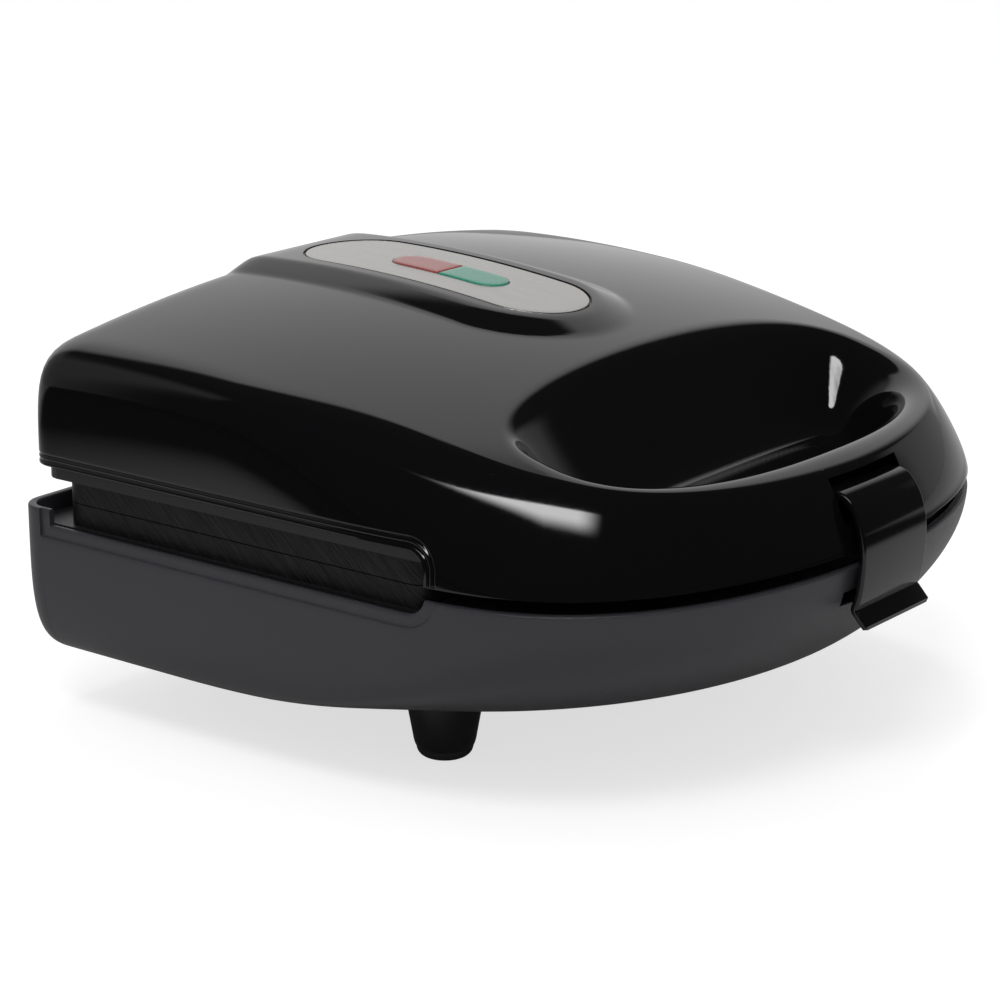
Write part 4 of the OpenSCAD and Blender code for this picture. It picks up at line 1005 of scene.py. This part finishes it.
def foot_profile(p):
    """A foot's section: a peg in the base, a tapered leg and the start of its round tip."""
    z, axis, peg = p.belly_z, 0.0001, 0.004
    tip = [(axis, 0.003), (0.0078, 0.003), (0.0081, 0.0031), (0.00845, 0.0038), (0.0087, 0.0047),
           (0.00888, 0.0055), (0.009, 0.0063)]
    leg = [(0.0093, 0.0080), (0.01028, 0.0135), (0.0114, z - 0.0008), (0.0115, z - 0.0002), (0.0115, z)]
    return [*tip, *leg, (peg, z), (peg, z + 0.0025), (axis, z + 0.0025)]


def pad_profile():
    """A pad's section: flat under the foot, with a rounded edge."""
    r, h = 0.008, 0.003
    edge = [(r - h + h * math.sin(a), h - h * math.cos(a)) for a in np.radians(np.linspace(0, 90, 9))[1:]]
    return [(0.0001, 0.0), (r - h, 0.0), *edge, (0.0001, h)]


# ---------------------------------------------------------------- finishes

class Graph:
    """Shorthands that add shader nodes to one tree. A source is a socket or a plain value."""

    def __init__(self, owner):
        owner.use_nodes = True
        self.tree = owner.node_tree
        self.shader = self.tree.nodes.get("Principled BSDF")

    def fill(self, node, inputs):
        """Links or sets the inputs of a node."""
        for at, source in inputs.items():
            if isinstance(source, bpy.types.NodeSocket):
                self.tree.links.new(source, node.inputs[at])
            else:
                node.inputs[at].default_value = source

    def add(self, kind, inputs, output=0, **settings):
        """A new node, by its wanted output."""
        node = self.tree.nodes.new("ShaderNode" + kind)
        for key, value in settings.items():
            setattr(node, key, value)
        self.fill(node, inputs)
        return node.outputs[output]

    def place(self):
        """The place on the object."""
        return self.add("TexCoord", {}, "Object")

    def ray(self, kind):
        """1 for a ray of the kind, 0 for any other."""
        return self.add("LightPath", {}, f"Is {kind} Ray")

    def scaled(self, source, scale):
        return self.add("Mapping", {"Vector": source, "Scale": scale})

    def noise(self, source, scale, detail=3.0, rough=0.5):
        return self.add(
            "TexNoise", {"Vector": source, "Scale": scale, "Detail": detail, "Roughness": rough}, "Fac")

    def spread(self, source, low, high):
        """The noise's usual range, 0.25 to 0.75, as low to high."""
        return self.add(
            "MapRange", {"Value": source, "From Min": 0.25, "From Max": 0.75, "To Min": low, "To Max": high})

    def step(self, source, low, high, start=0.0, end=1.0):
        """A smooth step: start up to low, end from high."""
        return self.add(
            "MapRange", {"Value": source, "From Min": low, "From Max": high, "To Min": start, "To Max": end},
            interpolation_type="SMOOTHSTEP")

    def fall(self, source, low, high):
        """A smooth step down: 1 up to low, 0 from high."""
        return self.step(source, low, high, 1.0, 0.0)

    def dot(self, source, direction):
        return self.add("VectorMath", {0: source, 1: direction}, "Value", operation="DOT_PRODUCT")

    def number(self, operation, a, b):
        return self.add("Math", {0: a, 1: b}, operation=operation)

    def product(self, first, *others):
        for other in others:
            first = self.number("MULTIPLY", first, other)
        return first

    def pick(self, share, a, b):
        """a where share is 0, b where it is 1."""
        return self.add("Mix", {0: share, 2: a, 3: b})

    def tint(self, share, rgb, change):
        """Colours the shader from rgb less the change to rgb plus the change."""
        colour = self.add("Mix", {
            "A": (*[c * (1 - change) for c in rgb], 1), "B": (*[min(1, c * (1 + change)) for c in rgb], 1),
            "Factor": share}, "Result", data_type="RGBA")
        self.fill(self.shader, {"Base Color": colour})

    def bump(self, height, strength, distance):
        normal = self.add("Bump", {"Height": height, "Strength": strength, "Distance": distance})
        self.fill(self.shader, {"Normal": normal})


def new_finish(slot):
    """A new material for a slot, and its graph."""
    mat = bpy.data.materials.new(PREFIX + slot)
    return mat, Graph(mat)


def plastic(slot, rgb, rough, change=0.08, grain=900.0, bump=0.0, see=0.0):
    """A plain surface: slow noise varies its colour, and fine noise its roughness and its height."""
    mat, g = new_finish(slot)
    slow, fine = g.noise(g.place(), 30.0), g.noise(g.place(), grain, 4.0, 0.6)
    g.tint(slow, rgb, change)
    g.fill(g.shader, {"Roughness": g.spread(fine, *rough), "Transmission Weight": see})
    if bump:
        g.bump(fine, 0.5, bump)
    return mat


def cast(slot, rgb, rough):
    """Coated casting with slanting scratches: noise in a turned frame, stretched along the scratches."""
    slant, fineness = math.radians(-42), (90, 110, 1900)
    mat, g = new_finish(slot)
    turned = g.add("Mapping", {"Vector": g.place(), "Rotation": (slant, 0, 0)})
    lines = g.noise(g.scaled(turned, fineness), 1.0)
    g.tint(g.spread(lines, 0.0, 1.0), rgb, 0.8)
    g.fill(g.shader, {"Roughness": g.spread(g.noise(g.place(), 1500.0), *rough), "Metallic": 0.6})
    g.bump(lines, 0.8, 0.0002)
    return mat


def brushed(slot, rgb, rough, fineness):
    """Drawn metal: noise stretched along one way sets the tone, the roughness and fine lines."""
    mat, g = new_finish(slot)
    lines = g.noise(g.scaled(g.place(), fineness), 1.0, 4.0, 0.65)
    g.tint(lines, rgb, 0.12)
    g.fill(g.shader, {"Roughness": g.spread(lines, *rough), "Metallic": 1.0})
    g.bump(lines, 0.35, 0.00002)
    return mat


def finishes():
    """Every slot's material, from its maker, its colour, its range of roughness and the rest."""
    f = bpy.context.scene.toaster_finish
    table = {
        "lid_gloss": (plastic, f.lid, (0.035, 0.075), 0.1),
        "base_satin": (plastic, f.base, (0.34, 0.46), 0.05, 1400.0, 0.00002),
        "frame_black": (plastic, f.frame, (0.3, 0.45), 0.08, 1200.0, 0.00002),
        "foot_satin": (plastic, (0.006, 0.006, 0.007), (0.16, 0.26)),
        "latch_gloss": (plastic, f.lid, (0.07, 0.13), 0.1),
        "cast_coated": (cast, f.cast, (0.38, 0.55)),
        "element_steel": (brushed, (0.30, 0.26, 0.22), (0.35, 0.55), (400, 400, 400)),
        "bright_sheet": (brushed, (0.66, 0.66, 0.66), (0.18, 0.3), (30, 900, 900)),
        "trim_steel": (brushed, f.steel, (0.24, 0.4), (2600, 45, 300)),
        "zinc_steel": (brushed, (0.52, 0.52, 0.50), (0.28, 0.42), (500, 500, 500)),
        "pad_rubber": (plastic, (0.020, 0.020, 0.020), (0.6, 0.8), 0.1, 1500.0, 0.00003),
        "red_plastic": (plastic, f.red, (0.10, 0.2), 0.08, 600.0, 0.0, 0.25),
        "green_plastic": (plastic, f.green, (0.10, 0.2), 0.08, 600.0, 0.0, 0.25),
        "lamp_glass": (plastic, (0.85, 0.62, 0.45), (0.04, 0.1), 0.05, 600.0, 0.0, 0.7),
        "white_plastic": (plastic, (0.70, 0.69, 0.65), (0.35, 0.5), 0.04),
        "steatite": (plastic, (0.74, 0.70, 0.62), (0.5, 0.65), 0.06, 1200.0, 0.00002),
    }
    return {slot: make(slot, *values) for slot, (make, *values) in table.items()}


# ---------------------------------------------------------------- operators

class Step(bpy.types.Operator):
    """One step of the build"""

    bl_options = {"REGISTER", "UNDO"}

    def execute(self, context):
        made = {m.name.removeprefix(PREFIX): m for m in bpy.data.materials if m.name.startswith(PREFIX)}
        self.build(plan(), made)
        return {"FINISHED"}


class TOASTER_OT_finishes(Step):
    """Make the finishes and give every construction piece the one named by its slot"""

    bl_idname = "toaster.finishes"
    bl_label = "Finishes"

    def build(self, p, made):
        made = finishes()
        slots = {part["node"]: part["material_slot"] for part in frame["record"]["subparts"]}
        for name, node in frame["nodes"].items():
            node.data.materials.clear()
            node.data.materials.append(made[slots[name]])


class TOASTER_OT_base(Step):
    """Build the base housing"""

    bl_idname = "toaster.base"
    bl_label = "Base"

    def build(self, p, made):
        skin = piece("base_housing", [base_skin(p)])
        cut(skin, base_cutters(p))
        merge(skin, [piece("posts", base_posts(p))])
        settle(skin, "base", made, "base_satin", "base_shell")


class TOASTER_OT_feet(Step):
    """Build the feet and their pads"""

    bl_idname = "toaster.feet"
    bl_label = "Feet"

    def build(self, p, made):
        for name, (x, y) in foot_spots(p).items():
            leg = piece(name.replace("foot", "leg"), [revolve((x, y, 0), foot_profile(p), 72)])
            settle(leg, "base", made, "foot_satin", name)
        pads = piece("foot_tips", [revolve((x, y, 0), pad_profile(), 72) for x, y in foot_spots(p).values()])
        settle(pads, "base", made, "pad_rubber", "foot_pads")


class TOASTER_OT_lid(Step):
    """Build the lid housing with its ridge, finger recess and latch slot"""

    bl_idname = "toaster.lid"
    bl_label = "Lid"

    def build(self, p, made):
        skin = piece("lid_housing", [lid_skin(p)], 32.0)
        cut(skin, lid_slot(p))
        posts = [lid_post(p, *spot) for spot in p.lid_posts]
        merge(skin, [piece("pocket", latch_pocket(p)), piece("posts", posts)])
        settle(skin, "lid", made, "lid_gloss", "lid_shell")


class TOASTER_OT_trim(Step):
    """Build the trim plate and the two lenses"""

    bl_idname = "toaster.trim"
    bl_label = "Trim and lenses"

    def build(self, p, made):
        settle(piece("trim_panel", [trim_plate(p)]), "lid", made, "trim_steel", "trim_plate")
        settle(piece("red_window", [lens(p, 1)]), "lid", made, "red_plastic", "red_lens")
        settle(piece("green_window", [lens(p, -1)]), "lid", made, "green_plastic", "green_lens")


class TOASTER_OT_latch(Step):
    """Build the latch"""

    bl_idname = "toaster.latch"
    bl_label = "Latch"

    def build(self, p, made):
        settle(piece("latch_strap", latch_body(p)), "latch", made, "latch_gloss", "latch")


class TOASTER_OT_stage(Step):
    """Set the camera, lights, floor and world"""

    bl_idname = "toaster.stage"
    bl_label = "Stage"

    def build(self, p, made):
        scene = bpy.context.scene
        s = scene.toaster_stage
        data = bpy.data.cameras.new("camera")
        data.lens, data.sensor_width, data.sensor_fit = s.lens, 36.0, "HORIZONTAL"
        data.clip_start = 0.05
        cam = bpy.data.objects.new("camera", data)
        cam.location = s.place
        cam.rotation_euler = (math.radians(90) - s.elevation, 0, s.azimuth)
        scene.collection.objects.link(cam)
        scene.camera = cam
        scene.view_settings.view_transform = "Standard"
        scene.world = surroundings(s.sky)
        for name, place, wide, high, power in (
                ("key", (-0.85, -0.38, 1.38), 0.75, 0.42, s.key),
                ("top", (0.35, 0.25, 1.45), 0.3, 0.3, s.key * 0.35)):
            lamp = bpy.data.lights.new(name, "AREA")
            lamp.shape, lamp.size, lamp.size_y, lamp.energy = "RECTANGLE", wide, high, power
            obj = bpy.data.objects.new(name, lamp)
            obj.location = place
            aim = Vector((0, -0.01, 0.08)) - obj.location
            obj.rotation_euler = aim.to_track_quat("-Z", "Y").to_euler()
            obj.visible_glossy = False
            scene.collection.objects.link(obj)
        floor = piece("floor", [floor_mesh()])
        floor.data.materials.append(floor_finish())


def surroundings(sky):
    """White to the camera and an even sky to matt surfaces. Gloss and glass see a dim room with white
    things in it: a backdrop at the rear right, up to 45 degrees, its greyer wings, and a soft box at the
    front left, drawn in the tangent plane of its own direction, crisp above and fading downwards."""
    dim, wing_tone, backdrop_tone, box_tone = 0.035, 0.3, 0.79, 13.0
    rear_left, box_way = (-0.695, 0.719, 0), (-0.545, -0.315, 0.777)
    box_right, box_up = (0.5, -0.866, 0), (0.673, 0.389, 0.629)
    world = bpy.data.worlds.new("surroundings")
    g = Graph(world)
    way = g.add("TexCoord", {}, "Generated")
    flat = g.add("VectorMath", {0: way, 1: (1, 1, 0)}, operation="MULTIPLY")
    level = g.add("VectorMath", {0: flat}, operation="NORMALIZE")
    height, rear = g.dot(way, (0, 0, 1)), g.dot(level, REAR_RIGHT)
    backdrop = g.product(g.step(rear, 0.7, 0.92), g.fall(height, 0.69, 0.76))
    side = g.step(g.dot(level, rear_left), -0.1, 0.1)
    left = g.product(side, g.step(rear, -0.07, 0.02), g.fall(height, 0.52, 0.7))
    right = g.product(g.step(rear, 0.35, 0.52), g.fall(height, 0.28, 0.42))
    wings = g.number("MAXIMUM", left, right)
    ahead = g.dot(way, box_way)
    across = g.number("DIVIDE", g.dot(way, box_right), ahead)
    up = g.number("DIVIDE", g.dot(way, box_up), ahead)
    lower = g.number("ADD", up, g.product(g.number("MINIMUM", across, 0.0), 0.25))
    box = g.product(g.fall(up, 0.088, 0.106), g.step(lower, -0.085, 0.03), g.step(across, -0.68, -0.36),
                    g.fall(across, 0.2, 0.38), g.step(ahead, 0.7, 0.8))
    room = g.number("MAXIMUM", g.pick(wings, dim, wing_tone), g.pick(backdrop, dim, backdrop_tone))
    gloss = g.number("ADD", room, g.product(box, box_tone))
    seen = g.number("MAXIMUM", g.ray("Glossy"), g.ray("Transmission"))
    g.fill(g.tree.nodes["Background"], {
        "Color": (1, 1, 1, 1), "Strength": g.pick(g.ray("Camera"), g.pick(seen, sky, gloss), 1.0)})
    return world


def floor_mesh():
    """A wide square of level faces just under the feet."""
    reach, n, z = 4, 25, -0.0002
    f = np.linspace(-reach, reach, n)
    x, y = np.meshgrid(f, f)
    v = np.stack([x, y, np.full_like(x, z)], -1).reshape(-1, 3)
    i = np.arange(n - 1)[:, None] * n + np.arange(n - 1)[None, :]
    return v, [np.stack([i, i + 1, i + n + 1, i + n], -1).reshape(-1, 4)]


def floor_finish():
    """Paper that keeps the shadow: mostly its own white to the camera, and to gloss a pale sheet about
    0.4 m round the toaster, which runs on to the rear right, in a dark room."""
    dark, pale, paper, glow = 0.03, 0.5, 0.4, 0.68
    mat = bpy.data.materials.new("floor_paper")
    g = Graph(mat)
    away = g.add("VectorMath", {0: g.place()}, "Value", operation="LENGTH")
    sheet = g.step(away, 0.36, 0.52, pale, dark)
    sweep = g.step(g.dot(g.place(), REAR_RIGHT), 0.12, 0.4, dark, pale)
    g.fill(g.shader, {
        "Base Color": g.pick(g.ray("Glossy"), paper, g.number("MAXIMUM", sheet, sweep)),
        "Roughness": 0.9, "Specular IOR Level": 0.0,
        "Emission Color": (1, 1, 1, 1), "Emission Strength": g.product(g.ray("Camera"), glow)})
    return mat


class TOASTER_PT_panel(bpy.types.Panel):
    """The toaster's settings and build steps"""

    bl_label = "Sandwich Toaster"
    bl_idname = "TOASTER_PT_panel"
    bl_space_type = "VIEW_3D"
    bl_region_type = "UI"
    bl_category = "Toaster"

    def draw(self, context):
        for key, kind in SETTINGS.items():
            box = self.layout.box()
            box.label(text=key.replace("_", " ").capitalize())
            for name in kind.__annotations__:
                box.prop(getattr(context.scene, key), name)
        for step in STEPS:
            self.layout.operator(step.bl_idname)


STEPS = (TOASTER_OT_finishes, TOASTER_OT_base, TOASTER_OT_feet, TOASTER_OT_lid, TOASTER_OT_trim,
         TOASTER_OT_latch, TOASTER_OT_stage)
CLASSES = (*SETTINGS.values(), *STEPS, TOASTER_PT_panel)


def register():
    for c in CLASSES:
        bpy.utils.register_class(c)
    for key, kind in SETTINGS.items():
        setattr(bpy.types.Scene, key, bpy.props.PointerProperty(type=kind))


def unregister():
    for key in SETTINGS:
        delattr(bpy.types.Scene, key)
    for c in reversed(CLASSES):
        bpy.utils.unregister_class(c)


def clear_start():
    """Takes away what a new file holds before the build."""
    known = set(frame["nodes"].values()) | set(frame["bodies"].values())
    for obj in list(bpy.data.objects):
        if obj not in known and obj.name in ("Cube", "Light", "Camera"):
            bpy.data.objects.remove(obj)


def main():
    """Runs every build step."""
    clear_start()
    register()
    for step in STEPS:
        group, name = step.bl_idname.split(".")
        if getattr(getattr(bpy.ops, group), name)() != {"FINISHED"}:
            raise RuntimeError(step.bl_label)


if __name__ == "__main__":
    main()
